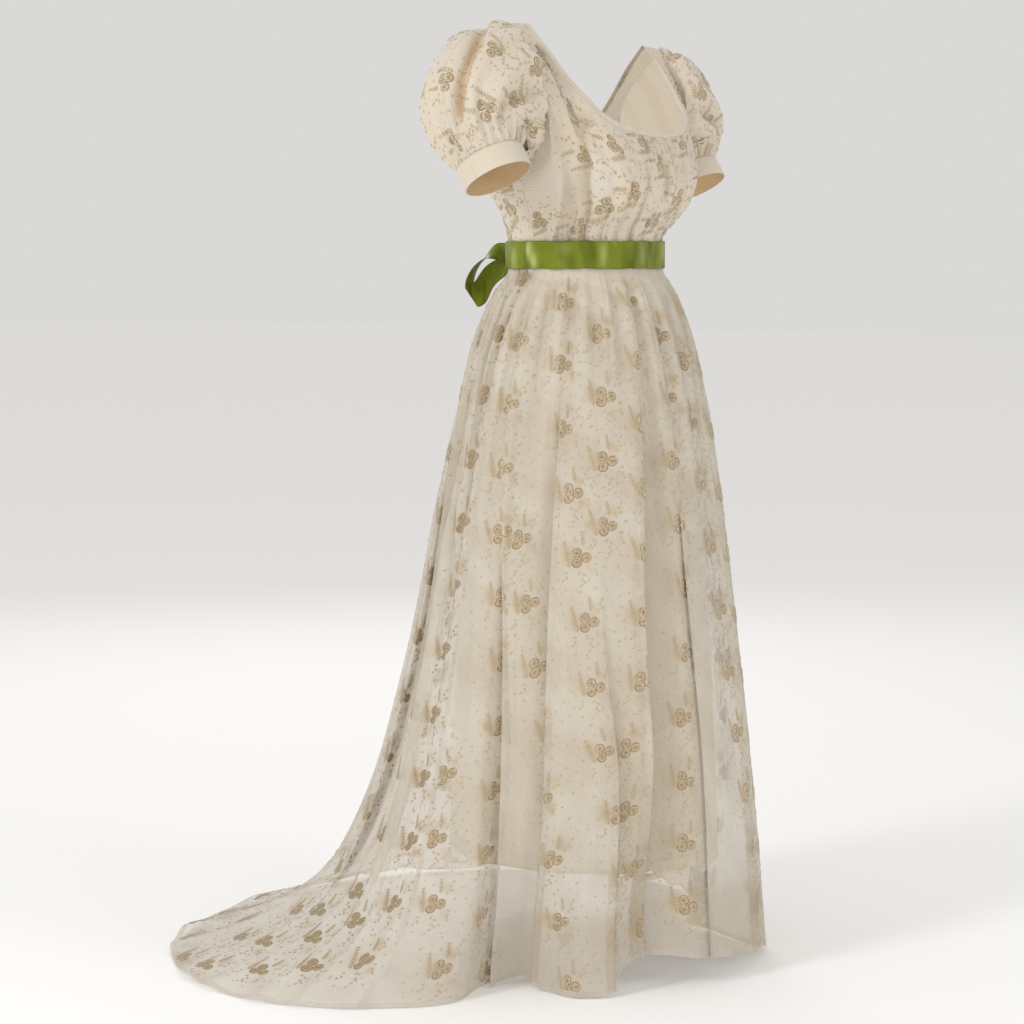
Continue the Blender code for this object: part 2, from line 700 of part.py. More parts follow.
def make_binding():
    """The narrow band round the neckline, on past the panels' top edges."""
    inner = STRAP_ANGLES[0]
    front = front_columns()
    back = back_columns()
    back = np.concatenate([back, 360 - back[-2::-1]])
    front_edge, front_out = neckline(front_points, front[np.abs(front) <= inner], 0)
    back_edge, back_out = neckline(back_base, back[np.abs(back - 180) <= inner], 180)
    edge = np.concatenate([front_edge, back_edge])
    out = np.concatenate([front_out, back_out])
    rows = [edge + out * (3 * SEAM_GAP + BINDING_WIDTH * share) for share in (0.0, 1.0)]
    shell("neck_binding", np.stack(rows), BODICE_WALL, "sheer", closed=True)


def armhole(count):
    """The right armhole from its top, down the front and up the back, evenly spaced."""
    outer = STRAP_ANGLES[1]
    front = np.linspace(outer, 90, 60)
    back = np.linspace(90, 180 - outer, 60)[1:]
    down = front_base(front, np.ones_like(front))
    up = back_base(back, np.ones_like(back))
    points = np.concatenate([down, up, down[:1]])
    run = np.concatenate([[0], np.cumsum(np.linalg.norm(np.diff(points, axis=0), axis=1))])
    at = np.linspace(0, run[-1], count, endpoint=False)
    return np.stack([np.interp(at, run, points[:, k]) for k in range(3)], axis=-1)


def ring(turn, row):
    """A ring of the right sleeve: turn 0 is its upper or outer side, 90 its front."""
    x, y, height, tilt, rise, half_height, half_width = np.moveaxis(row, -1, 0)
    tilt, rise, turn = np.radians(tilt), np.radians(rise), np.radians(turn)
    upper = np.cos(turn) * half_height
    front = np.sin(turn) * half_width
    return np.stack([
        x - upper * np.sin(tilt),
        y - front * np.cos(rise),
        height + upper * np.cos(tilt) + front * np.sin(rise),
    ], axis=-1)


def sleeve_points(shares, columns):
    """The right sleeve: the armhole's line and the rings, joined by smooth lines down the cloth."""
    turn = np.linspace(0, 360, columns, endpoint=False)
    start = armhole(columns) + np.array([-ARMHOLE_GAP, 0, 0])
    rings = [start] + [ring(turn, np.array(row[1:], float)) for row in SLEEVE_RINGS]
    knots = np.array([0.0] + [row[0] for row in SLEEVE_RINGS])
    flat = np.stack(rings).reshape(len(rings), -1)
    lines = follow(np.column_stack([knots, flat]), np.asarray(shares, float))
    points = lines.reshape(len(shares), columns, 3)
    around = np.roll(points, -1, axis=1) - np.roll(points, 1, axis=1)
    along = np.gradient(points, np.asarray(shares, float), axis=0)
    normal = unit(np.cross(along, around))
    gather = follow(SLEEVE_GATHER_HEIGHT, shares)
    wave = np.cos(np.radians(turn * SLEEVE_GATHERS + SLEEVE_GATHER_TURN * np.sin(np.radians(2 * turn))))
    middle, depth, half_width = SLEEVE_CREASE
    crease = np.exp(-(turn_between(turn, middle) / half_width) ** 2)
    shape = np.asarray(shares, float)[:, None]
    height = gather * wave - depth * crease * ease(shape * 5) * ease((1 - shape) * 3)
    return points + normal * height[..., None]


def make_sleeves():
    right = sleeve_points(SLEEVE_ROWS, SLEEVE_COLUMNS)
    shell("sleeve_right", right, SLEEVE_WALL, "sheer", closed=True)
    shell("sleeve_left", mirrored(right), SLEEVE_WALL, "sheer", closed=True)


def make_cuffs():
    turn = np.linspace(0, 360, CUFF_COLUMNS, endpoint=False)
    top = ring(turn, np.array(SLEEVE_RINGS[-1][1:], float))
    axis = np.array(CUFF_AXIS)
    rows = [top + axis * (3 * SEAM_GAP + CUFF_WIDTH * share) for share in (0.0, 1.0)]
    right = np.stack(rows)
    shell("cuff_right", right, CUFF_WALL, "sheer", closed=True)
    shell("cuff_left", mirrored(right), CUFF_WALL, "sheer", closed=True)


def make_sash():
    angles = np.linspace(0, 360, SASH_COLUMNS, endpoint=False)
    out = BODICE_WALL / 2 + LAYER_GAP + RIBBON_WALL / 2
    heights = WAIST_HEIGHT + np.array([0.5, 0.0, -0.5]) * SASH_WIDTH
    plan = ellipse(angles, WAIST_HALF_WIDTH + out, WAIST_HALF_DEPTH + out)
    rows = [np.column_stack([plan, np.full(len(plan), height)]) for height in heights]
    shell("sash", np.stack(rows), RIBBON_WALL, "satin", closed=True)


def evenly(table, count):
    """This many points of a smooth line through a table, whose rows are taken as evenly spaced."""
    knots = np.linspace(0, 1, len(table))
    return follow(np.column_stack([knots, table]), np.linspace(0, 1, count))


def make_loops():
    line = evenly(BOW_LOOP, LOOP_POINTS)
    least, gain = LOOP_WIDTHS
    spread = np.sin(np.linspace(0, math.pi, LOOP_POINTS))
    half_width = SASH_WIDTH / 2 * (least + gain * np.sqrt(np.clip(spread, 0, 1)))
    across = unit(line[:, 3:]) * half_width[:, None]
    right = np.stack([line[:, :3] + across * side for side in (1, 0, -1)])
    shell("bow_loop_right", right, RIBBON_WALL, "satin")
    shell("bow_loop_left", mirrored(right), RIBBON_WALL, "satin")


def on_skirt_back(x, heights, reach=0.012):
    """Points just behind the back of the skirt, at these widths and heights."""
    angle, share = np.meshgrid(np.linspace(140, 220, 161), np.linspace(0, 0.7, 141))
    skirt = skirt_points(angle, share).reshape(-1, 3)
    made = []
    for one_x, height in zip(x, heights):
        near = (np.abs(skirt[:, 0] - one_x) < reach) & (np.abs(skirt[:, 2] - height) < reach)
        y = np.max(skirt[near, 1], initial=TAIL_INNERMOST)
        made.append((one_x, y + TAIL_CLEARANCE, height))
    return np.array(made)


def make_tails():
    for name, tail in BOW_TAILS.items():
        line = evenly(tail, TAIL_POINTS)
        rows = [on_skirt_back(line[:, 0] + line[:, 2] * side, line[:, 1]) for side in (-0.5, 0.0, 0.5)]
        shell(name, np.stack(rows), RIBBON_WALL, "satin")


def make_knot():
    """The rounded knot, drawn in at both ends."""
    rows, columns = KNOT_ROWS, KNOT_COLUMNS
    points = []
    for r in range(rows):
        up = -0.5 + r / (rows - 1)
        bulge = math.sqrt(max(1 - KNOT_TAPER * up**4, KNOT_END_WIDTH**2))
        for c in range(columns):
            turn = 2 * math.pi * c / columns
            cos, sin = math.cos(turn), math.sin(turn)
            aside = math.copysign(abs(cos) ** KNOT_ROUNDING, cos) * bulge / 2
            back = math.copysign(abs(sin) ** KNOT_ROUNDING, sin) * bulge / 2
            points.append((
                KNOT_CENTRE[0] + KNOT_SIZE[0] * aside,
                KNOT_CENTRE[1] + KNOT_SIZE[1] * back,
                KNOT_CENTRE[2] + KNOT_SIZE[2] * up - ORIGIN_HEIGHT,
            ))
    faces = [
        (r * columns + c, r * columns + (c + 1) % columns,
         (r + 1) * columns + (c + 1) % columns, (r + 1) * columns + c)
        for r in range(rows - 1)
        for c in range(columns)
    ]
    faces.append(tuple(range(columns))[::-1])
    faces.append(tuple((rows - 1) * columns + c for c in range(columns)))
    mesh = bpy.data.meshes.new("bow_knot")
    mesh.from_pydata(points, [], faces)
    mesh.shade_smooth()
    mesh.materials.append(material("bow_knot", "satin"))
    gown.objects.link(bpy.data.objects.new("bow_knot", mesh))


for old in list(bpy.data.objects):
    bpy.data.objects.remove(old)
gown = bpy.data.collections.new("regency_gown")
bpy.context.scene.collection.children.link(gown)

make_skirt()
make_lining()
make_bodice()
make_binding()
make_sleeves()
make_cuffs()
make_sash()
make_loops()
make_tails()
make_knot()
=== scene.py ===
"""Looks of a high-waisted Regency gown: sheer embroidered overskirt over an opaque lining, gathered
bodice, puffed sleeves and a satin sash tied behind. The cloth follows the same sizes as its solids.

Metres. Tables give heights above the floor. Round the gown, an angle of 0 is the centre front, 90 the
wearer's right side and 180 the centre back. A share is how far along a panel a point lies.
"""

import math

import bpy
import numpy as np
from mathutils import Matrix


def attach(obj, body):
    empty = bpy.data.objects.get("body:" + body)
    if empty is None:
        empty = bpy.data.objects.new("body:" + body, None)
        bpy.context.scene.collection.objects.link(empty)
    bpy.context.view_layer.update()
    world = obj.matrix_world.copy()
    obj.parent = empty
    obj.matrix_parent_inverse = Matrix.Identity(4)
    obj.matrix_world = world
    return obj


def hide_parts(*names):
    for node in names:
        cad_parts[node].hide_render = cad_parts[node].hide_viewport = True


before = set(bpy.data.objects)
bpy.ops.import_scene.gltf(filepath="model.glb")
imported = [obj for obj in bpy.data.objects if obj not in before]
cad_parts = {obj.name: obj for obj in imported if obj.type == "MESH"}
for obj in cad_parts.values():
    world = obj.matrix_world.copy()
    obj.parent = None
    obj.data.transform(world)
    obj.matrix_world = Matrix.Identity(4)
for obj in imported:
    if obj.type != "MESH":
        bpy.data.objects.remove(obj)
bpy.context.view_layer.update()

ORIGIN_HEIGHT = 1.382
# The left shoulder hangs lower: by how much, between which heights it grows, and how wide it fades.
LEFT_DROP = 0.014
DROP_HEIGHTS = (1.12, 1.32)
DROP_FADE_WIDTH = 0.30
WAIST_HEIGHT = 1.060
WAIST_HALF_WIDTH = 0.1305
WAIST_HALF_DEPTH = 0.1045

BODICE_WALL = 0.0015
SHEER_WALL = 0.0010
RIBBON_WALL = 0.0010
SEAM_GAP = 0.0003
LAYER_GAP = 0.0018
ARMHOLE_GAP = 0.0024

SASH_WIDTH = 0.040
BINDING_WIDTH = 0.008
CUFF_WIDTH = 0.030

# The skirt held by the sash: columns are angle, x, y, height, sweep. Sweep is 0 where a line down
# the cloth hangs straight and 1 where it runs out along the floor.
CALM_HEM = (
    (0, 0.000, -0.262, 0.036, 0.00),
    (15, -0.075, -0.255, 0.036, 0.00),
    (30, -0.146, -0.229, 0.030, 0.00),
    (45, -0.205, -0.178, 0.016, 0.00),
    (60, -0.252, -0.104, 0.008, 0.10),
    (70, -0.290, -0.048, 0.004, 0.25),
    (80, -0.346, 0.010, 0.002, 0.42),
    (90, -0.418, 0.082, 0.002, 0.56),
    (105, -0.468, 0.157, 0.002, 0.75),
    (118, -0.486, 0.236, 0.002, 0.90),
    (132, -0.468, 0.338, 0.002, 1.00),
    (146, -0.402, 0.455, 0.002, 1.00),
    (160, -0.284, 0.562, 0.002, 1.00),
    (170, -0.150, 0.622, 0.002, 1.00),
    (180, 0.000, 0.642, 0.002, 1.00),
)

# Where the hem lies once its deep folds have formed: angle, x, y, height. The left front has none.
# The folds form below a share of the skirt's length.
HEM_FOLDS_START = 0.66
LEFT_HEM = (
    (-90, 0.424, 0.078, 0.002),
    (-82, 0.362, 0.016, 0.002),
    (-74, 0.300, -0.020, 0.002),
    (-66, 0.252, -0.036, 0.008),
    (-57, 0.240, -0.090, 0.003),
    (-46, 0.226, -0.158, 0.002),
    (-37, 0.184, -0.208, 0.010),
    (-27, 0.140, -0.228, 0.022),
    (-14, 0.068, -0.246, 0.030),
)
RIGHT_HEM = (
    (0, 0.000, -0.250, 0.038),
    (12, -0.052, -0.238, 0.044),
    (22, -0.096, -0.204, 0.049),
    (29, -0.122, -0.168, 0.046),
    (35, -0.160, -0.172, 0.012),
    (42, -0.192, -0.150, 0.003),
    (50, -0.204, -0.106, 0.002),
    (57, -0.194, -0.058, 0.004),
    (63, -0.186, -0.018, 0.012),
    (69, -0.222, 0.002, 0.004),
    (76, -0.300, -0.002, 0.002),
    (83, -0.366, 0.014, 0.002),
    (90, -0.426, 0.080, 0.002),
    (105, -0.470, 0.156, 0.002),
    (118, -0.490, 0.236, 0.002),
    (132, -0.474, 0.342, 0.002),
    (146, -0.408, 0.462, 0.002),
    (160, -0.288, 0.570, 0.002),
    (170, -0.152, 0.628, 0.002),
    (180, 0.000, 0.648, 0.002),
)

# A line down the skirt: share of its length, reach and drop where it hangs, reach and drop where it
# sweeps. Reach is the share of the way out to the hem, and drop the share of the way down.
SKIRT_FALL = (
    (0.000, 0.000, 0.000, 0.000, 0.000),
    (0.020, 0.001, 0.020, 0.000, 0.020),
    (0.050, 0.110, 0.050, 0.046, 0.054),
    (0.100, 0.245, 0.100, 0.096, 0.108),
    (0.200, 0.410, 0.200, 0.154, 0.219),
    (0.320, 0.530, 0.320, 0.215, 0.356),
    (0.443, 0.635, 0.443, 0.268, 0.496),
    (0.568, 0.740, 0.568, 0.336, 0.636),
    (0.660, 0.812, 0.660, 0.394, 0.734),
    (0.750, 0.872, 0.750, 0.480, 0.833),
    (0.813, 0.910, 0.813, 0.548, 0.889),
    (0.860, 0.935, 0.860, 0.628, 0.927),
    (0.918, 0.962, 0.918, 0.778, 0.964),
    (0.966, 0.985, 0.966, 0.920, 0.988),
    (1.000, 1.000, 1.000, 1.000, 1.000),
)

# Lengthwise folds of the overskirt: angle, depth, half width in degrees, share where it starts,
# share where it is full, drift in degrees by the hem.
SKIRT_FOLDS = (
    (-2, 0.004, 4.0, 0.04, 0.30, 1),
    (14, 0.005, 3.6, 0.10, 0.40, -1),
    (32, 0.010, 3.4, 0.03, 0.22, -3),
    (45, 0.005, 3.0, 0.02, 0.25, 2),
    (55, 0.006, 3.2, 0.04, 0.35, 2),
    (67, 0.007, 3.4, 0.05, 0.45, -3),
    (82, 0.011, 3.2, 0.04, 0.20, -5),
    (94, 0.007, 3.0, 0.05, 0.30, -2),
    (104, 0.008, 3.0, 0.04, 0.35, 2),
    (115, 0.009, 3.2, 0.05, 0.30, 2),
    (128, 0.007, 3.4, 0.04, 0.40, 3),
    (141, 0.009, 3.2, 0.05, 0.30, -2),
    (153, 0.007, 3.0, 0.04, 0.35, 2),
    (165, 0.010, 3.2, 0.05, 0.30, -2),
    (177, 0.007, 3.0, 0.04, 0.40, 2),
    (189, 0.009, 3.0, 0.05, 0.30, 3),
    (201, 0.008, 3.2, 0.04, 0.35, -2),
    (212, 0.010, 3.2, 0.05, 0.30, 2),
    (225, 0.007, 3.0, 0.04, 0.40, -3),
    (237, 0.008, 3.4, 0.05, 0.30, 2),
    (249, 0.009, 3.0, 0.04, 0.35, 2),
    (262, 0.007, 3.2, 0.05, 0.30, -2),
    (-86, 0.010, 3.2, 0.04, 0.30, 4),
    (-72, 0.006, 3.2, 0.05, 0.40, 3),
    (-59, 0.008, 3.4, 0.04, 0.30, -2),
    (-44, 0.006, 3.2, 0.05, 0.35, 3),
    (-29, 0.007, 3.6, 0.04, 0.40, 2),
    (-16, 0.005, 3.6, 0.08, 0.35, -2),
)
FRONT_GATHERS = 14
BACK_GATHERS = 18
# Share of the length and height of the small gathers under the sash.
GATHER_HEIGHT = (
    (0.000, 0.0006),
    (0.024, 0.0006),
    (0.060, 0.0024),
    (0.100, 0.0030),
    (0.200, 0.0018),
    (0.380, 0.0000),
    (1.000, 0.0000),
)
# How the gathers vary round the gown: weight, waves round it, turn in degrees.
GATHER_VARIATIONS = ((0.11, 5, 40), (0.09, 3, 0))
GATHER_EVENNESS = 0.75

# The lining: share of its length, half width, half depth, height.
LINING_FALL = (
    (0.00, 0.1285, 0.1025, 1.0600),
    (0.03, 0.1288, 0.1028, 1.0360),
    (0.12, 0.1400, 0.1220, 0.9560),
    (0.25, 0.1560, 0.1480, 0.8450),
    (0.45, 0.1710, 0.1750, 0.6650),
    (0.70, 0.1800, 0.1960, 0.4400),
    (1.00, 0.1850, 0.2100, 0.1700),
)
# Soft waves round the lining: number, height, turn in degrees, radius that the height is meant for.
LINING_WAVES = 9
LINING_WAVE_HEIGHT = 0.003
LINING_WAVE_TURN = 20
LINING_RADIUS = 0.19

# Guide lines of the bodice front, from the waist up to its top edge: angle, x, y, height.
FRONT_SASH_LINE = (
    (0, 0.000, -0.1050, 1.0835),
    (22, -0.0495, -0.0972, 1.0835),
    (45, -0.0930, -0.0742, 1.0835),
    (57, -0.1105, -0.0570, 1.0835),
    (75, -0.1268, -0.0270, 1.0835),
    (90, -0.1312, 0.0000, 1.0835),
)
FRONT_UNDER_BUST = (
    (0, 0.000, -0.1300, 1.126),
    (22, -0.0620, -0.1285, 1.126),
    (40, -0.1020, -0.1070, 1.127),
    (57, -0.1290, -0.0745, 1.128),
    (75, -0.1430, -0.0330, 1.127),
    (90, -0.1460, 0.0000, 1.125),
)
FRONT_BUST = (
    (0, 0.000, -0.1420, 1.168),
    (15, -0.0460, -0.1440, 1.168),
    (30, -0.0930, -0.1350, 1.172),
    (40, -0.1200, -0.1170, 1.178),
    (50, -0.1400, -0.0930, 1.184),
    (57, -0.1500, -0.0760, 1.182),
    (70, -0.1570, -0.0440, 1.166),
    (80, -0.1580, -0.0200, 1.156),
    (90, -0.1570, 0.0000, 1.152),
)
FRONT_CHEST = (
    (0, 0.000, -0.1350, 1.204),
    (15, -0.0500, -0.1345, 1.206),
    (28, -0.1000, -0.1210, 1.216),
    (35, -0.1260, -0.1050, 1.228),
    (41, -0.1440, -0.0900, 1.243),
    (46, -0.1560, -0.0770, 1.262),
    (50, -0.1640, -0.0680, 1.284),
    (57, -0.1820, -0.0600, 1.280),
    (64, -0.1800, -0.0600, 1.250),
    (72, -0.1720, -0.0560, 1.218),
    (80, -0.1660, -0.0400, 1.192),
    (90, -0.1610, 0.0000, 1.174),
)
FRONT_EDGE = (
    (0, 0.000, -0.1230, 1.235),
    (15, -0.0520, -0.1200, 1.2385),
    (28, -0.1040, -0.1070, 1.2530),
    (35, -0.1310, -0.0920, 1.2770),
    (41, -0.1470, -0.0670, 1.3080),
    (46, -0.1550, -0.0350, 1.3500),
    (50, -0.1570, -0.0010, 1.3880),
    (57, -0.1950, -0.0010, 1.3840),
    (64, -0.1930, -0.0380, 1.3450),
    (72, -0.1850, -0.0560, 1.2850),
    (80, -0.1740, -0.0480, 1.2290),
    (86, -0.1670, -0.0240, 1.2010),
    (90, -0.1640, 0.0000, 1.1940),
)

# Guide lines of the bodice back, in the same way.
BACK_SASH_LINE = (
    (90, -0.1312, 0.0000, 1.0835),
    (105, -0.1268, 0.0270, 1.0835),
    (123, -0.1105, 0.0570, 1.0835),
    (135, -0.0930, 0.0740, 1.0835),
    (158, -0.0495, 0.0968, 1.0835),
    (180, 0.0000, 0.1045, 1.0835),
)
BACK_UNDER_BUST = (
    (90, -0.1460, 0.0000, 1.125),
    (105, -0.1420, 0.0320, 1.125),
    (123, -0.1220, 0.0680, 1.126),
    (140, -0.0900, 0.0900, 1.126),
    (158, -0.0500, 0.1030, 1.126),
    (180, 0.0000, 0.1070, 1.126),
)
BACK_BUST = (
    (90, -0.1570, 0.0000, 1.152),
    (100, -0.1570, 0.0300, 1.156),
    (110, -0.1510, 0.0580, 1.164),
    (123, -0.1360, 0.0830, 1.172),
    (130, -0.1230, 0.0920, 1.172),
    (145, -0.0860, 0.1050, 1.168),
    (160, -0.0480, 0.1110, 1.166),
    (180, 0.0000, 0.1130, 1.165),
)
BACK_CHEST = (
    (90, -0.1610, 0.0000, 1.174),
    (100, -0.1660, 0.0400, 1.192),
    (108, -0.1690, 0.0640, 1.220),
    (116, -0.1700, 0.0760, 1.254),
    (123, -0.1760, 0.0720, 1.290),
    (130, -0.1610, 0.0790, 1.2840),
    (134, -0.1510, 0.0870, 1.2580),
    (139, -0.1350, 0.0950, 1.2350),
    (145, -0.1150, 0.1015, 1.2190),
    (152, -0.0900, 0.1065, 1.2080),
    (165, -0.0460, 0.1120, 1.2010),
    (180, 0.0000, 0.1140, 1.1990),
)
BACK_EDGE = (
    (90, -0.1640, 0.0000, 1.1940),
    (94, -0.1670, 0.0250, 1.2010),
    (100, -0.1740, 0.0510, 1.2310),
    (108, -0.1840, 0.0640, 1.2880),
    (116, -0.1930, 0.0420, 1.3460),
    (123, -0.1950, 0.0010, 1.3840),
    (130, -0.1570, 0.0010, 1.3880),
    (134, -0.1600, 0.0330, 1.3530),
    (139, -0.1560, 0.0610, 1.3080),
    (145, -0.1420, 0.0830, 1.2680),
    (152, -0.1130, 0.0970, 1.2440),
    (165, -0.0580, 0.1070, 1.2330),
    (180, 0.0000, 0.1100, 1.2300),
)
# How far up the panel each guide line lies.
GUIDE_SHARES = (0.0, 0.15, 0.35, 0.60, 0.80, 1.0)
STRAP_ANGLES = (50.0, 57.0)
# Where each half of the back ends beside the centre back seam.
BACK_SEAM_ANGLE = 179.85
# Heights that the neck binding leans towards, at the middle of the neckline and at the straps.
NECK_AIM_HEIGHTS = (1.60, 1.42)

# Gathers of the bodice: angle, depth, half width in degrees, share where it starts, where it ends.
# Each grows and fades over a share of the panel's height, and one that ends at 1 runs off its edge.
BODICE_FOLD_FADE = 0.14
BODICE_FOLDS = (
    (3, 0.0022, 3.2, 0.30, 1.00),
    (-7, 0.0020, 3.0, 0.50, 1.00),
    (-15, 0.0024, 3.0, 0.20, 1.00),
    (-24, 0.0018, 3.0, 0.10, 0.90),
    (11, 0.0026, 3.0, 0.20, 1.00),
    (20, 0.0020, 3.0, 0.45, 1.00),
    (27, 0.0018, 3.0, 0.10, 0.60),
    (36, 0.0024, 3.2, 0.08, 0.85),
    (48, 0.0020, 3.0, 0.06, 0.55),
    (62, 0.0024, 3.4, 0.06, 0.60),
    (-35, 0.0020, 3.0, 0.08, 0.80),
    (-48, 0.0022, 3.2, 0.06, 0.60),
    (-63, 0.0022, 3.4, 0.06, 0.60),
)

# Rings of the right sleeve from the armhole to the cuff: share, centre x, y, height, tilt of the
# ring's upper side outwards, rise of its front side, half height, half width. Angles in degrees.
SLEEVE_RINGS = (
    (0.14, -0.2020, 0.0080, 1.2880, 8, 0, 0.1010, 0.0770),
    (0.36, -0.2270, 0.0150, 1.2770, 25, 0, 0.1030, 0.0850),
    (0.60, -0.2530, 0.0160, 1.2530, 46, 8, 0.0920, 0.0840),
    (0.82, -0.2610, 0.0040, 1.2240, 70, 20, 0.0730, 0.0710),
    (1.00, -0.2550, -0.0130, 1.1930, 90, 28.6, 0.0490, 0.0490),
)
SLEEVE_GATHERS = 11
SLEEVE_GATHER_HEIGHT = ((0.0, 0.0010), (0.15, 0.0035), (0.5, 0.0025), (0.85, 0.0032), (1.0, 0.0004))
# Unevenness of the gathers in degrees.
SLEEVE_GATHER_TURN = 25
CUFF_AXIS = (0.0, -0.478, -0.878)

# The right loop of the bow: x, y, height of the ribbon's middle, then its width's direction.
BOW_LOOP = (
    (-0.0173, 0.1165, 1.062, 0.00, 0.10, 1.00),
    (-0.030, 0.140, 1.065, 0.50, 0.35, 0.80),
    (-0.048, 0.151, 1.056, 0.82, 0.57, 0.10),
    (-0.062, 0.161, 1.036, 0.82, 0.50, -0.30),
    (-0.068, 0.165, 1.010, 0.78, 0.20, -0.60),
    (-0.064, 0.164, 0.996, 0.65, -0.10, -0.70),
    (-0.053, 0.157, 1.004, 0.50, -0.25, -0.75),
    (-0.038, 0.147, 1.030, 0.30, -0.25, -0.90),
    (-0.0173, 0.1205, 1.052, 0.00, -0.20, -1.00),
)
# The ribbon is narrower where the knot gathers it: share of its width there, and share that it gains.
LOOP_WIDTHS = (0.55, 0.40)
# A tail of the bow: x, height, ribbon width. It hangs from under the knot on the back of the skirt.
BOW_TAILS = {
    "bow_tail_right": (
        (-0.0060, 1.0406, 0.011),
        (-0.0080, 0.985, 0.034),
        (0.0000, 0.920, 0.040),
        (0.0100, 0.820, 0.040),
        (0.0160, 0.720, 0.040),
        (0.0200, 0.640, 0.040),
    ),
    "bow_tail_left": (
        (0.0065, 1.0406, 0.011),
        (0.0360, 0.985, 0.034),
        (0.0600, 0.920, 0.040),
        (0.0740, 0.820, 0.040),
        (0.0820, 0.720, 0.040),
        (0.0880, 0.670, 0.040),
    ),
}
TAIL_CLEARANCE = 0.0040
TAIL_INNERMOST = 0.1125
KNOT_SIZE = (0.034, 0.020, 0.036)
KNOT_CENTRE = (0.0, 0.11835, 1.0590)
# The knot's outline: sharpness of its rounding, how far in its ends draw, and its least share of width.
KNOT_ROUNDING = 0.7
KNOT_TAPER = 7.0
KNOT_END_WIDTH = 0.5

# Knife pleats of the overskirt: angle at a fifth, at half and at the end of its length, half width in
# degrees, depth, which side lies outside (1 for the one nearer the front of the wearer's right),
# share where it starts, share where it is full.
SKIRT_PLEATS = (
    (26.0, 31.5, 27.0, 7.0, 0.020, -1, 0.12, 0.34),
    (50.0, 44.0, 37.0, 5.0, 0.014, -1, 0.40, 0.75),
    (83.0, 75.0, 69.5, 6.4, 0.019, 1, 0.06, 0.28),
    (112.0, 90.5, 79.0, 5.6, 0.016, 1, 0.12, 0.34),
    (60.0, 61.0, 59.0, 4.4, 0.011, 1, 0.08, 0.34),
    (10.0, 9.0, 6.0, 6.0, 0.006, 1, 0.20, 0.50),
    (-18.0, -20.0, -23.0, 5.4, 0.011, -1, 0.12, 0.40),
    (-41.0, -43.0, -44.0, 6.2, 0.016, -1, 0.10, 0.34),
    (-66.0, -68.0, -70.0, 6.0, 0.016, 1, 0.12, 0.36),
    (-90.0, -86.0, -82.0, 5.4, 0.014, -1, 0.10, 0.40),
    (126.0, 122.0, 118.0, 5.6, 0.016, 1, 0.08, 0.34),
    (149.0, 146.0, 142.0, 6.0, 0.018, -1, 0.10, 0.34),
    (171.0, 172.0, 174.0, 5.6, 0.016, 1, 0.08, 0.36),
    (194.0, 196.0, 199.0, 6.2, 0.018, -1, 0.10, 0.36),
    (219.0, 222.0, 226.0, 5.8, 0.016, 1, 0.08, 0.34),
    (243.0, 246.0, 250.0, 5.6, 0.016, -1, 0.10, 0.38),
)
PLEAT_SWING = 0.72
# A third of the grid's rows lie above this share, where the gathers are.
CLOSE_ROWS_END = 0.24
# Depth at which the painted shade in the overskirt's pleats is full.
FULL_PLEAT_DEPTH = 0.020
# Painted shade on the cloth below the lining's hem: how much, and from which share.
UNLINED_SHADE = 0.8
UNLINED_FROM = 0.885
# The pleats lie out flat where the train runs along the floor: shares where that begins and ends.
PLEATS_LIE_DOWN = (0.70, 0.90)
# Sharp valleys between the gathers under the sash: share of the length, depth.
VALLEYS = (
    (0.000, 0.0000),
    (0.022, 0.0008),
    (0.050, 0.0052),
    (0.100, 0.0074),
    (0.220, 0.0050),
    (0.460, 0.0000),
    (1.000, 0.0000),
)
VALLEY_SHARPNESS = 6
FINE_GATHERS = 2.5
FINE_GATHER_HEIGHT = 0.0007
# Slow wandering of every lengthwise fold: degrees, turns down the length, waves round the gown.
WANDER = ((0.55, 1.3, 5), (0.30, 2.9, 11))

# Pleat lines of the bodice: angle at the waist, at half height and at the top, depth, half width in
# degrees on the soft side, which side is soft, share where it starts, share where it ends.
BODICE_PLEATS = (
    (50, 49, 30, 0.0066, 6.0, 1, 0.00, 1.00),
    (12.5, 13, 12, 0.0060, 5.0, 1, 0.00, 0.86),
    (77, 63, 58, 0.0056, 9.0, -1, 0.00, 0.70),
    (-4, -4, -2, 0.0080, 4.5, 1, 0.42, 0.90),
    (61, 56, 52, 0.0034, 5.0, 1, 0.00, 0.42),
    (29, 27, 24, 0.0032, 5.0, -1, 0.00, 0.80),
    (38, 37, 34, 0.0030, 4.0, 1, 0.00, 0.50),
    (2, 1, 1, 0.0030, 4.0, 1, 0.00, 0.50),
    (-9, -9, -8, 0.0036, 4.0, -1, 0.00, 1.00),
    (-20, -18, -17, 0.0036, 4.5, 1, 0.00, 0.92),
    (-33, -31, -28, 0.0044, 5.5, -1, 0.00, 1.00),
    (-46, -45, -42, 0.0036, 5.0, 1, 0.00, 0.60),
    (-60, -58, -54, 0.0054, 7.0, 1, 0.00, 0.62),
    (-76, -72, -70, 0.0040, 5.5, -1, 0.00, 0.56),
)
PLEAT_KNOTS = (0.0, 0.5, 1.0)
# Depth at which the painted shade in the bodice's pleats is full.
FULL_SHADE_DEPTH = 0.0058
# How much of the pleats' depth is gone where they are sewn to the neckline's binding.
NECK_FLATNESS = 0.85
SHARP_SIDE = 0.14
# Small gathers along the neckline and the waist of the bodice: from angle, to angle, waves, height,
# share of the height where they are strongest, how far they reach.
BODICE_RUFFLES = (
    (-36, 17, 13, 0.0013, 0.86, 0.13),
    (-80, 80, 34, 0.0010, 0.12, 0.16),
)
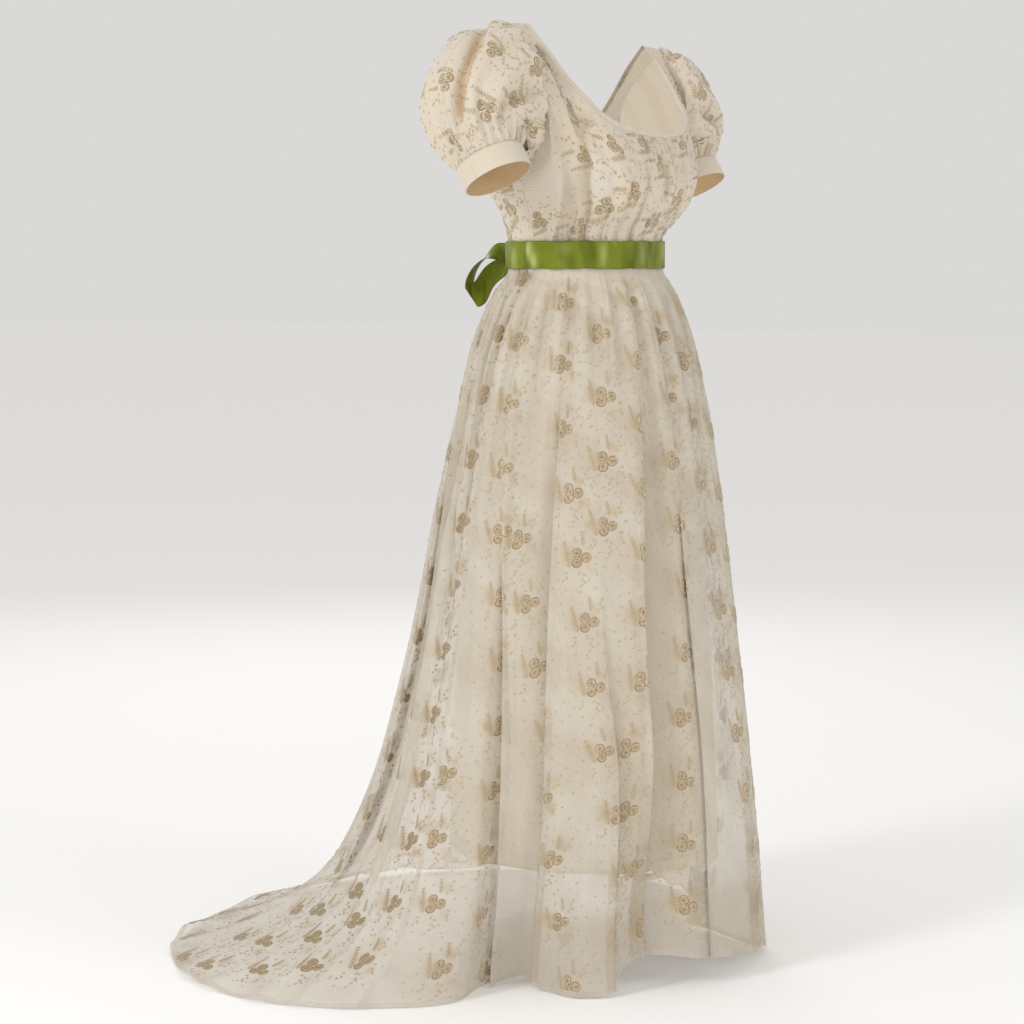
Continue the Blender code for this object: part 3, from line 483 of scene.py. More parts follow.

# Creases of the right sleeve: turn at the armhole, at half way and at the cuff, depth, half width in
# degrees, share where it starts, share where it ends, how strongly painted shade colours its hollow.
SLEEVE_CREASES = (
    (-20, 21, 4, 0.0165, 10.0, 0.08, 0.97, 1.0),
    (90, 80, 62, 0.0100, 9.0, 0.15, 1.00, 0.30),
    (118, 112, 100, 0.0060, 7.0, 0.05, 0.80, 0.2),
    (46, 44, 36, 0.0030, 6.0, 0.62, 1.00, 0.1),
    (-14, -14, -12, 0.0040, 7.0, 0.66, 1.00, 0.1),
    (-44, -40, -32, 0.0090, 8.0, 0.12, 1.00, 0.30),
    (-72, -70, -60, 0.0060, 8.0, 0.10, 0.90, 0.2),
    (-104, -104, -96, 0.0080, 8.0, 0.20, 1.00, 0.25),
    (-134, -132, -128, 0.0050, 7.0, 0.25, 1.00, 0.2),
    (150, 150, 142, 0.0060, 8.0, 0.10, 0.90, 0.2),
)
DEEP_FOLD_STEEP = 0.60
CREASE_KNOTS = (0.0, 0.58, 1.0)
SLEEVE_FINE = ((0.0, 0.0012), (0.07, 0.0012), (0.2, 0.0001), (0.75, 0.0003), (0.94, 0.0016), (1.0, 0.0006))
SLEEVE_FINE_WAVES = 29
# How far the sleeve's cloth lies inside the smooth form of its lobes.
SLEEVE_EASE = 0.0030

# Soft dents of the sash: angle, height from its middle, depth, half width in degrees, half height.
SASH_DENTS = (
    (101, 0.000, 0.0008, 3.0, 0.030),
    (94, 0.008, -0.0026, 3.4, 0.016),
    (89, -0.010, -0.0024, 3.6, 0.014),
    (81, -0.002, 0.0009, 3.4, 0.024),
    (66, 0.010, -0.0012, 5.0, 0.012),
    (52, -0.004, 0.0008, 5.0, 0.030),
    (37, 0.000, -0.0019, 3.6, 0.024),
    (29, -0.006, 0.0009, 5.0, 0.020),
    (6, 0.000, -0.0016, 5.0, 0.026),
    (-8, 0.002, 0.0008, 4.0, 0.020),
    (-24, 0.006, -0.0020, 6.0, 0.022),
    (-52, 0.000, 0.0009, 6.0, 0.030),
    (-68, 0.004, -0.0018, 5.0, 0.020),
    (-88, 0.000, 0.0009, 4.0, 0.024),
    (112, -0.004, -0.0018, 6.0, 0.022),
    (140, 0.004, -0.0020, 5.0, 0.026),
    (163, 0.000, 0.0009, 4.0, 0.016),
    (197, 0.002, 0.0009, 4.0, 0.016),
    (224, -0.003, -0.0018, 6.0, 0.024),
    (252, 0.004, 0.0008, 6.0, 0.022),
)
# Height of a ridge at which its painted highlight is full.
SASH_FULL_SHEEN = 0.0030

# Sprays on the bodice front: angle, share of the height.
BODICE_SPRAYS = (
    (49, 0.92), (61, 0.84), (43, 0.84), (48, 0.64), (29, 0.80), (11, 0.945), (-21, 0.93), (2, 0.74),
    (25, 0.48), (-1, 0.27), (-14, 0.44), (41, 0.36), (84, 0.27), (55, 0.22), (-34, 0.62), (-30, 0.22),
    (-46, 0.42), (-47, 0.84), (-61, 0.25), (-58, 0.88), (-70, 0.50), (-84, 0.27), (-80, 0.62),
)
# Sprays on each half of the bodice's back.
BACK_SPRAYS = (
    (107, 0.38), (126, 0.20), (122, 0.60), (145, 0.36), (163, 0.18), (143, 0.72), (165, 0.56), (100, 0.68),
    (128, 0.90), (173, 0.86),
)
# Sprays on a sleeve: turn, share of the length.
SLEEVE_SPRAYS = (
    (0, 0.66), (352, 0.92), (36, 0.42), (48, 0.82), (118, 0.72), (70, 0.20), (84, 0.58), (150, 0.36),
    (182, 0.70), (208, 0.28), (232, 0.62), (262, 0.30), (284, 0.84), (306, 0.54), (330, 0.28), (20, 0.14),
)
# Columns of sprays on the front of the overskirt: angle at each of these shares, first share, last share.
COLUMN_SHARES = (0.1, 0.3, 0.5, 0.7, 0.85, 1.0)
FRONT_COLUMNS = (
    ((61, 55, 48.5, 44, 38, 35), 0.063, 1.0),
    ((43, 42, 42, 42, 42, 42), 0.107, 0.46),
    ((21, 29.5, 32.5, 36, 33, 28), 0.063, 1.0),
    ((4, 9.5, 12, 15.5, 15, 13), 0.113, 1.0),
    ((-12, -7, -11, -13.5, -20, -26), 0.150, 1.0),
    ((82, 80.5, 77.5, 76, 75, 71), 0.112, 1.0),
    ((75, 74, 66.5, 60.5, 55, 47), 0.370, 1.0),
    ((88, 88, 88, 88, 85.5, 80), 0.660, 1.0),
    ((-30, -30, -32, -35, -40, -45), 0.080, 1.0),
    ((-46, -46, -47, -48, -50, -54), 0.145, 0.60),
    ((-62, -58, -54, -55, -60, -64), 0.063, 1.0),
    ((-80, -77, -74, -74, -79, -84), 0.105, 1.0),
)
# The repeat of the embroidery: distance down the cloth, distance between columns, and the least
# distance that the gathers leave between columns.
REPEAT_DOWN = 0.0925
REPEAT_ACROSS = 0.100
CLOSEST_COLUMNS = 0.072
# Three roses of a spray: x, y and radius, with x across the cloth and y down it.
ROSES = ((-0.0056, -0.0068, 0.0067), (-0.0050, 0.0066, 0.0069), (0.0083, 0.0005, 0.0067))
ROSE_TURNS = 2.1
ROSE_STEPS = 28
ROSE_CORD = 0.0018
CORD_HEIGHT = 0.0013
THREAD_BASE = 0.0002
THREAD_HEIGHT = 0.0007
# How much the sprays differ from each other: degrees of lean, least and greatest size.
SPRAY_LEAN = 9
SPRAY_SIZES = (0.94, 1.06)
# Ferns beside the roses: foot x, foot y, tip x, tip y, leaflets on each side, leaflet length.
FERNS = (
    (-0.0150, 0.0130, -0.0250, -0.0240, 8, 0.0072),
    (0.0040, -0.0150, 0.0010, -0.0360, 5, 0.0056),
)
# Sprigs: points of the stem, then its leaves as place along the stem, side and length.
SPRIGS = (
    (
        ((-0.0020, 0.0150), (0.0030, 0.0240), (0.0050, 0.0320), (0.0040, 0.0400)),
        ((0.1, 1, 0.0060), (0.3, -1, 0.0064), (0.5, 1, 0.0058), (0.7, -1, 0.0060), (0.9, 1, 0.0054)),
    ),
    (
        ((0.0100, -0.0080), (0.0170, -0.0150), (0.0200, -0.0220), (0.0200, -0.0300)),
        ((0.2, -1, 0.0056), (0.45, 1, 0.0062), (0.7, -1, 0.0054), (0.95, 1, 0.0054)),
    ),
    (
        ((0.0150, 0.0070), (0.0210, 0.0130), (0.0230, 0.0200), (0.0210, 0.0270)),
        ((0.2, -1, 0.0052), (0.5, 1, 0.0056), (0.8, -1, 0.0052)),
    ),
    (
        ((-0.0130, 0.0150), (-0.0190, 0.0220), (-0.0210, 0.0290)),
        ((0.3, 1, 0.0052), (0.6, -1, 0.0054), (0.95, 1, 0.0050)),
    ),
)
STEM_WIDTH = 0.0006
# Patches of painted shadow beside a spray, standing for its soft shadow on the lining: reach, distance
# across the cloth and down it.
SPRAY_SHADOW_PATCHES = ((0.013, -0.020, -0.004), (0.009, 0.010, -0.022), (0.008, 0.014, 0.020))
LEAF_SPREAD = 42
# How far the threads are lifted off the middle of a panel's shell.
BODICE_THREAD_LIFT = 0.0005
SLEEVE_THREAD_LIFT = 0.0004
# Loose seeds: x, y, length, lean in degrees.
SEEDS = (
    (-0.034, 0.006, 0.0040, 20),
    (-0.036, -0.014, 0.0036, -30),
    (0.026, -0.004, 0.0040, 60),
    (0.034, 0.016, 0.0038, -50),
    (-0.010, -0.026, 0.0042, 10),
    (-0.004, 0.046, 0.0036, 75),
    (0.036, -0.020, 0.0034, 30),
    (-0.024, -0.034, 0.0034, -60),
    (0.012, 0.034, 0.0040, 35),
    (-0.030, 0.030, 0.0036, -20),
    (0.042, -0.004, 0.0044, 80),
    (0.045, 0.034, 0.0040, 20),
    (-0.043, -0.030, 0.0042, 65),
    (-0.044, 0.018, 0.0046, -75),
    (0.030, -0.040, 0.0040, -35),
    (-0.014, -0.044, 0.0044, 85),
    (0.022, 0.046, 0.0042, -65),
    (-0.020, 0.044, 0.0040, 40),
    (0.014, -0.046, 0.0036, 15),
    (-0.040, 0.040, 0.0036, 5),
)

# Linear colours of the cloths and threads.
CREAM = (0.620, 0.562, 0.472)
CREAM_LINING = (0.830, 0.745, 0.605)
CREAM_LINING_WARM = (0.790, 0.690, 0.545)
CREAM_WARM = (0.640, 0.545, 0.420)
ORGANZA = (0.715, 0.668, 0.582)
ORGANZA_GREY = (0.620, 0.560, 0.465)
# Painted shade: a darker tan for the inner side of the cuffs.
INSIDE_SHADE_TAN = (0.540, 0.385, 0.220)
# Inner cloth of the sleeves and bodice, painted lighter and made to glow: painted light inside them.
INSIDE_CREAM_PAINTED_LIGHT = (0.740, 0.690, 0.605)
GOLD = (0.450, 0.350, 0.205)
GOLD_LIGHT = (0.700, 0.600, 0.425)
TAN = (0.300, 0.205, 0.105)
LEAF = (0.530, 0.410, 0.245)
# The back's threads: darker copies of the front's, painted shade for threads seen against the light.
TRAIN_SHADED_GOLD = (0.330, 0.245, 0.135)
TRAIN_SHADED_GOLD_LIGHT = (0.500, 0.400, 0.245)
TRAIN_SHADED_TAN = (0.265, 0.180, 0.090)
TRAIN_SHADED_LEAF = (0.430, 0.335, 0.205)
# Painted shadow of the sprays.
SPRAY_SHADOW_TAN = (0.470, 0.360, 0.235)
# Painted shade in the hollows of the sleeve's creases.
CREASE_SHADE_TAN = (0.600, 0.455, 0.300)
# Painted shade down in the folds of the cloths.
FOLD_SHADE = (0.470, 0.375, 0.255)
GREEN = (0.170, 0.208, 0.014)
# Painted highlight and painted shade of the satin, around its own green.
GREEN_PAINTED_LIGHT = (0.290, 0.330, 0.060)
GREEN_PAINTED_HIGHLIGHT = (0.520, 0.560, 0.200)
GREEN_PAINTED_SHADE = (0.085, 0.110, 0.006)

# Thickness of each piece's shell. The overskirt is one sheet.
LINING_SHELL = 0.0006
LINING_HEM_SHELL = 0.0003
BODICE_SHELL = 0.0009
SLEEVE_SHELL = 0.0007
CUFF_SHELL = 0.0012
RIBBON_SHELL = 0.0005
# Points of each piece's grid, across it and along it.
SKIRT_FRONT_GRID = (301, 121)
SKIRT_BACK_GRID = (361, 121)
LINING_GRID = (121, 61)
BODICE_FRONT_GRID = (361, 81)
BODICE_BACK_GRID = (141, 81)
SLEEVE_GRID = (240, 72)
CUFF_COLUMNS = 160
SASH_GRID = (360, 13)
LOOP_GRID = (90, 13)
TAIL_GRID = (80, 9)
KNOT_GRID = (64, 33)
# Hem and side seam of the overskirt, and the lining's hem: their widths and how proud they lie.
HEM_SHARE = 0.008
SEAM_DEGREES = 1.3
HEM_LIFT = 0.0004
LINING_HEM_SHARE = 0.022
LINING_HEM_LIFT = 0.0006

CAMERA_PLACE = (-3.4055, -2.3661, -0.3236)
CAMERA_AIM = (-0.1556, 0.0220, -0.6944)
CAMERA_LENS = 97.9
FLOOR_Z = -ORIGIN_HEIGHT
FLOOR_REACH = 30.0
FLOOR_COLOUR = (0.90, 0.895, 0.885)
STUDIO_WHITE = (1.0, 0.99, 0.975)
SKY_STRENGTH = 0.70
# The floor gives off what it does not reflect, so that it meets the sky without a line.
FLOOR_GLOW = 0.085
# Lamps: name, place, what it is aimed at, size, power in watts.
LAMPS = (
    ("key", (-4.4, 0.8, 1.9), (0, 0, -0.45), 1.2, 83),
    ("fill", (-3.2, -1.6, -0.7), (0, 0, -0.3), 1.6, 13),
    ("side", (0.2, -4.2, 0.8), (0, 0, -0.5), 1.4, 30),
    ("rim", (2.6, 2.6, 1.2), (0, 0, -0.5), 2.0, 22),
)


def calmed(slopes, knots, values):
    """The slopes held back where a smooth line would swing past the table's values."""
    steps = np.diff(values, axis=0) / np.diff(knots).reshape((-1,) + (1,) * (values.ndim - 1))
    for end in (slice(None, -1), slice(1, None)):
        here = slopes[end]
        low, high = np.minimum(3 * steps, 0), np.maximum(3 * steps, 0)
        slopes[end] = np.clip(here, low, high)
    return slopes


def between(first, second, slope, next_slope, span, x):
    """The smooth line from one row to the next, with its slope at each, where x goes from 0 to 1."""
    return (
        first * (1 + 2 * x) * (1 - x) ** 2
        + second * (3 - 2 * x) * x**2
        + slope * span * x * (1 - x) ** 2
        - next_slope * span * (1 - x) * x**2
    )


def follow(table, at):
    """Points of a smooth line through a table whose first column says where each row is."""
    table = np.array(table, float)
    knots, values = table[:, 0], table[:, 1:]
    slopes = calmed(np.gradient(values, knots, axis=0), knots, values)
    at = np.asarray(at, float)
    i = np.clip(np.searchsorted(knots, at, side="right") - 1, 0, len(knots) - 2)
    span = (knots[i + 1] - knots[i])[..., None]
    x = np.clip((at[..., None] - knots[i][..., None]) / span, 0, 1)
    return between(values[i], values[i + 1], slopes[i], slopes[i + 1], span, x)


def all_round(half):
    """The right half's table, from centre front to centre back, continued on both sides."""
    half = np.array(half, float)
    other = half[::-1].copy()
    other[:, 1] *= -1
    before, after = other.copy(), other.copy()
    before[:, 0] = -before[:, 0]
    after[:, 0] = 360 - after[:, 0]
    return np.concatenate([before[:-1], half, after[1:]])


def mirrored_about(table, middle):
    """A table that starts or ends at the gown's middle, continued on the other side of it."""
    table = np.array(table, float)
    other = table[::-1].copy()
    other[:, 0] = 2 * middle - other[:, 0]
    other[:, 1] *= -1
    if middle == table[0, 0]:
        return np.concatenate([other[:-1], table])
    return np.concatenate([table, other[1:]])


def ease(x):
    x = np.clip(x, 0, 1)
    return x * x * (3 - 2 * x)


def ellipse(angle, half_width, half_depth):
    turn = np.radians(angle)
    return np.stack([-half_width * np.sin(turn), -half_depth * np.cos(turn)], axis=-1)


def unit(vectors):
    return vectors / np.maximum(np.linalg.norm(vectors, axis=-1, keepdims=True), 1e-12)


def raised(surface, heights, angle, share, step_angle=0.5, step_share=0.004):
    """Points of a surface moved along its outward normal by heights(angle, share)."""
    low, high = np.clip(share - step_share, 0, 1), np.clip(share + step_share, 0, 1)
    around = surface(angle + step_angle, share) - surface(angle - step_angle, share)
    along = surface(angle, high) - surface(angle, low)
    normal = unit(np.cross(along, around))
    return surface(angle, share) + normal * heights(angle, share)[..., None]


def skirt_base(angle, share):
    """The overskirt without its folds."""
    waist = ellipse(angle, WAIST_HALF_WIDTH, WAIST_HALF_DEPTH)
    calm = follow(all_round(CALM_HEM), angle)
    folded = follow(HEM, angle)
    settled = ease((share - HEM_FOLDS_START) / (1 - HEM_FOLDS_START))[..., None]
    foot = calm[..., :3] + (folded - calm[..., :3]) * settled
    sweep = np.clip(calm[..., 3], 0, 1)[..., None]
    fall = follow(SKIRT_FALL, share)
    way = fall[..., :2] * (1 - sweep) + fall[..., 2:] * sweep
    plan = waist + (foot[..., :2] - waist) * way[..., :1]
    height = WAIST_HEIGHT + (foot[..., 2:] - WAIST_HEIGHT) * way[..., 1:]
    return np.concatenate([plan, height], axis=-1)


def gather_wave(angle):
    """Uneven gathers round the waist, -1 to 1."""
    front = (angle + 90) * FRONT_GATHERS
    back = (angle - 90) * BACK_GATHERS
    turn = np.where(np.abs(angle) <= 90, front, back) * 2
    height = GATHER_EVENNESS
    for weight, waves, start in GATHER_VARIATIONS:
        height = height + weight * np.sin(np.radians(angle * waves + start))
    return -np.cos(np.radians(turn)) * height


def turn_between(angle, middle):
    return (angle - middle + 180) % 360 - 180


def skirt_folds(angle, share):
    height = np.zeros(np.broadcast(angle, share).shape)
    for middle, depth, half_width, start, full, drift in SKIRT_FOLDS:
        away = turn_between(angle, middle + drift * share) / half_width
        grown = ease((share - start) / (full - start))
        height = height - depth * np.exp(-away * away) * grown
    gather = follow(GATHER_HEIGHT, share)[..., 0]
    return height + gather * gather_wave(angle)


def lining_base(angle, share):
    fall = follow(LINING_FALL, share)
    turn = np.radians(angle)
    wave = LINING_WAVE_HEIGHT / LINING_RADIUS * ease(share * 1.6)
    swell = 1 + wave * np.sin(np.radians((angle + LINING_WAVE_TURN) * LINING_WAVES))
    x = -fall[..., 0] * np.sin(turn) * swell
    y = -fall[..., 1] * np.cos(turn) * swell
    return np.stack([x, y, fall[..., 2] + 0 * x], axis=-1)


def panel_base(guides, middle):
    """A bodice panel through its guide lines, from the waist seam to its top edge."""
    lines = [mirrored_about(guide, middle) for guide in guides]

    def surface(angle, share):
        waist = ellipse(angle, WAIST_HALF_WIDTH, WAIST_HALF_DEPTH)
        bottom = np.concatenate([waist, np.full(waist.shape[:-1] + (1,), WAIST_HEIGHT)], axis=-1)
        rows = [bottom] + [follow(line, angle) for line in lines]
        rows = np.stack(np.broadcast_arrays(*rows))
        knots = np.array(GUIDE_SHARES)
        slopes = calmed(np.gradient(rows, knots, axis=0), knots, rows)
        i = np.clip(np.searchsorted(knots, share, side="right") - 1, 0, len(knots) - 2)
        i = np.broadcast_to(i, rows.shape[1:-1])
        x = (share - knots[i]) / (knots[i + 1] - knots[i])
        span, x = (knots[i + 1] - knots[i])[..., None], x[..., None]

        def picked(stack, index):
            return np.take_along_axis(stack, index[None, ..., None], axis=0)[0]

        ends = picked(rows, i), picked(rows, i + 1)
        return between(*ends, picked(slopes, i), picked(slopes, i + 1), span, x)

    return surface


def bodice_folds(angle, share):
    height = np.zeros(np.broadcast(angle, share).shape)
    for middle, depth, half_width, start, end in BODICE_FOLDS:
        away = turn_between(angle, middle) / half_width
        grown = ease((share - start + BODICE_FOLD_FADE) / BODICE_FOLD_FADE)
        if end < 1:
            grown = grown * ease((end - share + BODICE_FOLD_FADE) / BODICE_FOLD_FADE)
        height = height - depth * np.exp(-away * away) * grown
    return height


# The whole hem, with the left front's rows in their places at both ends of the table.
HEM = all_round(RIGHT_HEM)
HEM = np.concatenate([HEM[HEM[:, 0] < -90], LEFT_HEM, HEM[HEM[:, 0] >= 0]])
HEM[HEM[:, 0] > 262, 1:] = follow(HEM[HEM[:, 0] < 0], HEM[HEM[:, 0] > 262, 0] - 360)
front_base = panel_base((FRONT_SASH_LINE, FRONT_UNDER_BUST, FRONT_BUST, FRONT_CHEST, FRONT_EDGE), 0)
back_base = panel_base((BACK_SASH_LINE, BACK_UNDER_BUST, BACK_BUST, BACK_CHEST, BACK_EDGE), 180)


def leaning(points):
    """The points with the left shoulder let down."""
    points = np.array(points, float)
    low, high = DROP_HEIGHTS
    up = ease((points[..., 2] - low) / (high - low))
    points[..., 2] -= LEFT_DROP * up * np.clip(0.5 + points[..., 0] / DROP_FADE_WIDTH, 0, 1)
    return points


def neckline(surface, angles, middle):
    """A panel's neck edge, and the way out past it, square to the edge and towards the neck."""
    ones = np.ones_like(angles)
    near = np.clip(angles, angles[0] + 0.5, angles[-1] - 0.5)
    along = unit(surface(near + 0.3, ones) - surface(near - 0.3, ones))
    edge = surface(angles, ones)
    aim = np.zeros_like(edge)
    aim[:, 2] = np.interp(np.abs(angles - middle), (0, STRAP_ANGLES[0]), NECK_AIM_HEIGHTS)
    inward = aim - edge
    return edge, unit(inward - along * np.sum(inward * along, axis=-1, keepdims=True))


def armhole(count):
    """The right armhole from its top, down the front and up the back, evenly spaced."""
    outer = STRAP_ANGLES[1]
    front = np.linspace(outer, 90, 60)
    back = np.linspace(90, 180 - outer, 60)[1:]
    down = front_base(front, np.ones_like(front))
    up = back_base(back, np.ones_like(back))
    points = np.concatenate([down, up, down[:1]])
    run = np.concatenate([[0], np.cumsum(np.linalg.norm(np.diff(points, axis=0), axis=1))])
    at = np.linspace(0, run[-1], count, endpoint=False)
    return np.stack([np.interp(at, run, points[:, k]) for k in range(3)], axis=-1)


def ring(turn, row):
    """A ring of the right sleeve: turn 0 is its upper or outer side, 90 its front."""
    x, y, height, tilt, rise, half_height, half_width = np.moveaxis(row, -1, 0)
    tilt, rise, turn = np.radians(tilt), np.radians(rise), np.radians(turn)
    upper = np.cos(turn) * half_height
    front = np.sin(turn) * half_width
    return np.stack([
        x - upper * np.sin(tilt),
        y - front * np.cos(rise),
        height + upper * np.cos(tilt) + front * np.sin(rise),
    ], axis=-1)


def evenly(table, count):
    """This many points of a smooth line through a table, whose rows are taken as evenly spaced."""
    knots = np.linspace(0, 1, len(table))
    return follow(np.column_stack([knots, table]), np.linspace(0, 1, count))


def placed(points):
    """Table heights turned into the gown's own, with the left shoulder let down."""
    points = leaning(points)
    points[..., 2] -= ORIGIN_HEIGHT
    return points


def normals_of(points, closed, side=1):
    """Unit normals of a grid, on the outside of the gown where side says how it runs."""
    if closed:
        around = np.roll(points, -1, axis=1) - np.roll(points, 1, axis=1)
    else:
        around = np.gradient(points, axis=1)
    along = np.gradient(points, axis=0)
    return unit(np.cross(along, around)) * side


def lengths(points, axis):
    """Running length of a grid's lines along an axis, from their first points."""
    steps = np.linalg.norm(np.diff(points, axis=axis), axis=-1)
    pad = [(0, 0), (0, 0)]
    pad[axis] = (1, 0)
    return np.pad(np.cumsum(steps, axis=axis), pad)


class Cloth:
    """A grid of points on a piece of cloth, with what is needed to lay other things on it."""

    def __init__(self, points, columns, rows, closed=False, side=1):
        self.points = points
        self.columns = np.asarray(columns, float)
        self.rows = np.asarray(rows, float)
        self.closed = closed
        self.marks = {}
        self.normals = normals_of(points, closed, side)
        self.side = side

    def mirrored(self):
        other = Cloth(self.points * (-1, 1, 1), self.columns, self.rows, self.closed, -self.side)
        other.normals = self.normals * (-1, 1, 1)
        return other

    def wrapped(self, grid):
        return np.concatenate([grid, grid[:, :1]], axis=1) if self.closed else grid

    def at(self, column, row, lift=0.0):
        """Points at these columns and rows, lifted off the cloth."""
        i = np.interp(row, self.rows, np.arange(len(self.rows)))
        count = len(self.columns)
        if self.closed:
            step = self.columns[1] - self.columns[0]
            j = ((column - self.columns[0]) / step) % count
        else:
            j = np.interp(column, self.columns, np.arange(count))
        points, normals = self.wrapped(self.points), self.wrapped(self.normals)
        i0 = np.clip(np.floor(i).astype(int), 0, points.shape[0] - 2)
        j0 = np.clip(np.floor(j).astype(int), 0, points.shape[1] - 2)
        x, y = (j - j0)[..., None], (i - i0)[..., None]

        def blended(grid):
            low = grid[i0, j0] * (1 - x) + grid[i0, j0 + 1] * x
            high = grid[i0 + 1, j0] * (1 - x) + grid[i0 + 1, j0 + 1] * x
            return low * (1 - y) + high * y

        return blended(points) + unit(blended(normals)) * np.asarray(lift)[..., None]


def new_object(name, points, faces, uvs, finishes, finish_of=None, replaces=(), marks=None):
    """A mesh from points, faces and a texture place for each point, riding on the gown."""
    mesh = bpy.data.meshes.new(name)
    mesh.from_pydata([tuple(p) for p in points], [], faces)
    layer = mesh.uv_layers.new(name="cloth")
    at = np.empty(len(mesh.loops), np.int32)
    mesh.loops.foreach_get("vertex_index", at)
    layer.data.foreach_set("uv", np.asarray(uvs, np.float32)[at].ravel())
    for finish in finishes:
        mesh.materials.append(finish)
    if finish_of is not None:
        mesh.polygons.foreach_set("material_index", np.asarray(finish_of, np.int32))
    for mark, values in (marks or {}).items():
        layer = mesh.attributes.new(mark, "FLOAT", "POINT")
        layer.data.foreach_set("value", values.astype(np.float32).ravel())
    mesh.shade_smooth()
    made = bpy.data.objects.new(name, mesh)
    bpy.context.scene.collection.objects.link(made)
    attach(made, "root")
    if replaces:
        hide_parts(*replaces)
    return made


def grid_faces(rows, columns, closed, flip):
    around = columns if closed else columns - 1
    r, c = np.meshgrid(np.arange(rows - 1), np.arange(around), indexing="ij")
    r, c = r.ravel(), c.ravel()
    after = (c + 1) % columns
    here, below = r * columns, (r + 1) * columns
    quads = np.stack([here + c, below + c, below + after, here + after], 1)
    return (quads[:, ::-1] if flip else quads).tolist()


def lay(name, cloth, finishes, thickness, replaces=(), inner=0):
    """The cloth's own mesh, as one sheet or as a thin shell."""
    rows, columns = cloth.points.shape[:2]
    uv = np.stack([lengths(cloth.points, 1), lengths(cloth.points, 0)], axis=-1).reshape(-1, 2)
    faces = grid_faces(rows, columns, cloth.closed, cloth.side < 0)
    points = cloth.points.reshape(-1, 3)
    made = new_object(name, points, faces, uv, finishes, None, replaces, cloth.marks)
    if thickness:
        shell = made.modifiers.new("shell", "SOLIDIFY")
        shell.thickness = thickness
        shell.offset = 0
        shell.material_offset = inner
    return made


def nodes_of(name):
    made = bpy.data.materials.new(name)
    made.use_nodes = True
    return made, made.node_tree, made.node_tree.nodes["Principled BSDF"]


def add(tree, kind, **settings):
    node = tree.nodes.new(kind)
    for key, value in settings.items():
        if key in node.inputs:
            node.inputs[key].default_value = value
        else:
            setattr(node, key, value)
    return node


def cloth_places(tree, scale):
    """The cloth's own place in metres, times a scale for each way."""
    uv = add(tree, "ShaderNodeUVMap", uv_map="cloth")
    mapping = add(tree, "ShaderNodeMapping")
    mapping.inputs["Scale"].default_value = (scale[0], scale[1], 1)
    tree.links.new(uv.outputs["UV"], mapping.inputs["Vector"])
    return mapping.outputs["Vector"]


def noise(tree, scale, detail=2.0):
    node = add(tree, "ShaderNodeTexNoise", Scale=1.0, Detail=detail)
    tree.links.new(cloth_places(tree, scale), node.inputs["Vector"])
    return node.outputs["Fac"]


def graded(tree, factor, first, last, *inner):
    """A colour for each value of a factor, through stops that give a value and a colour."""
    node = add(tree, "ShaderNodeValToRGB")
    stops = node.color_ramp.elements
    for stop, (place, colour) in zip((stops[0], stops[1]), (first, last)):
        stop.position, stop.color = place, (*colour, 1)
    for place, colour in inner:
        stops.new(place).color = (*colour, 1)
    tree.links.new(factor, node.inputs["Fac"])
    return node.outputs["Color"]


def blend_colours(tree, factor, first, second):
    return graded(tree, factor, (0.32, first), (0.68, second))


def maths(tree, operation, first, second):
    node = add(tree, "ShaderNodeMath", operation=operation)
    for k, value in enumerate((first, second)):
        if isinstance(value, (int, float)):
            node.inputs[k].default_value = value
        else:
            tree.links.new(value, node.inputs[k])
    return node.outputs[0]


def weave(tree, threads):
    """Height of a plain weave with this many threads a metre."""
    heights = []
    for way in ("X", "Y"):
        wave = add(tree, "ShaderNodeTexWave", Scale=1.0, Distortion=0.6, bands_direction=way)
        wave.inputs["Detail"].default_value = 1.0
        tree.links.new(cloth_places(tree, (threads / 20, threads / 20)), wave.inputs["Vector"])
        heights.append(wave.outputs["Fac"])
    return maths(tree, "MULTIPLY", *heights)


def bump(tree, bsdf, height, strength, distance):
    node = add(tree, "ShaderNodeBump", Strength=strength, Distance=distance)
    tree.links.new(height, node.inputs["Height"])
    tree.links.new(node.outputs["Normal"], bsdf.inputs["Normal"])


def tinted(tree, colour, other, share):
    mix = add(tree, "ShaderNodeMix", data_type="RGBA")
    tree.links.new(share, mix.inputs[0])
    tree.links.new(colour, mix.inputs[6])
    mix.inputs[7].default_value = (*other, 1)
    return mix.outputs[2]


def with_painted_light(tree, colour, painted_light_colour, strength):
    """A colour that goes over to another by the mark on the mesh: painted shade down in the folds, and a
    painted highlight on the sash's ridges.
    """
    place = add(tree, "ShaderNodeAttribute", attribute_name="deep")
    return tinted(tree, colour, painted_light_colour, maths(tree, "MULTIPLY", place.outputs["Fac"], strength))


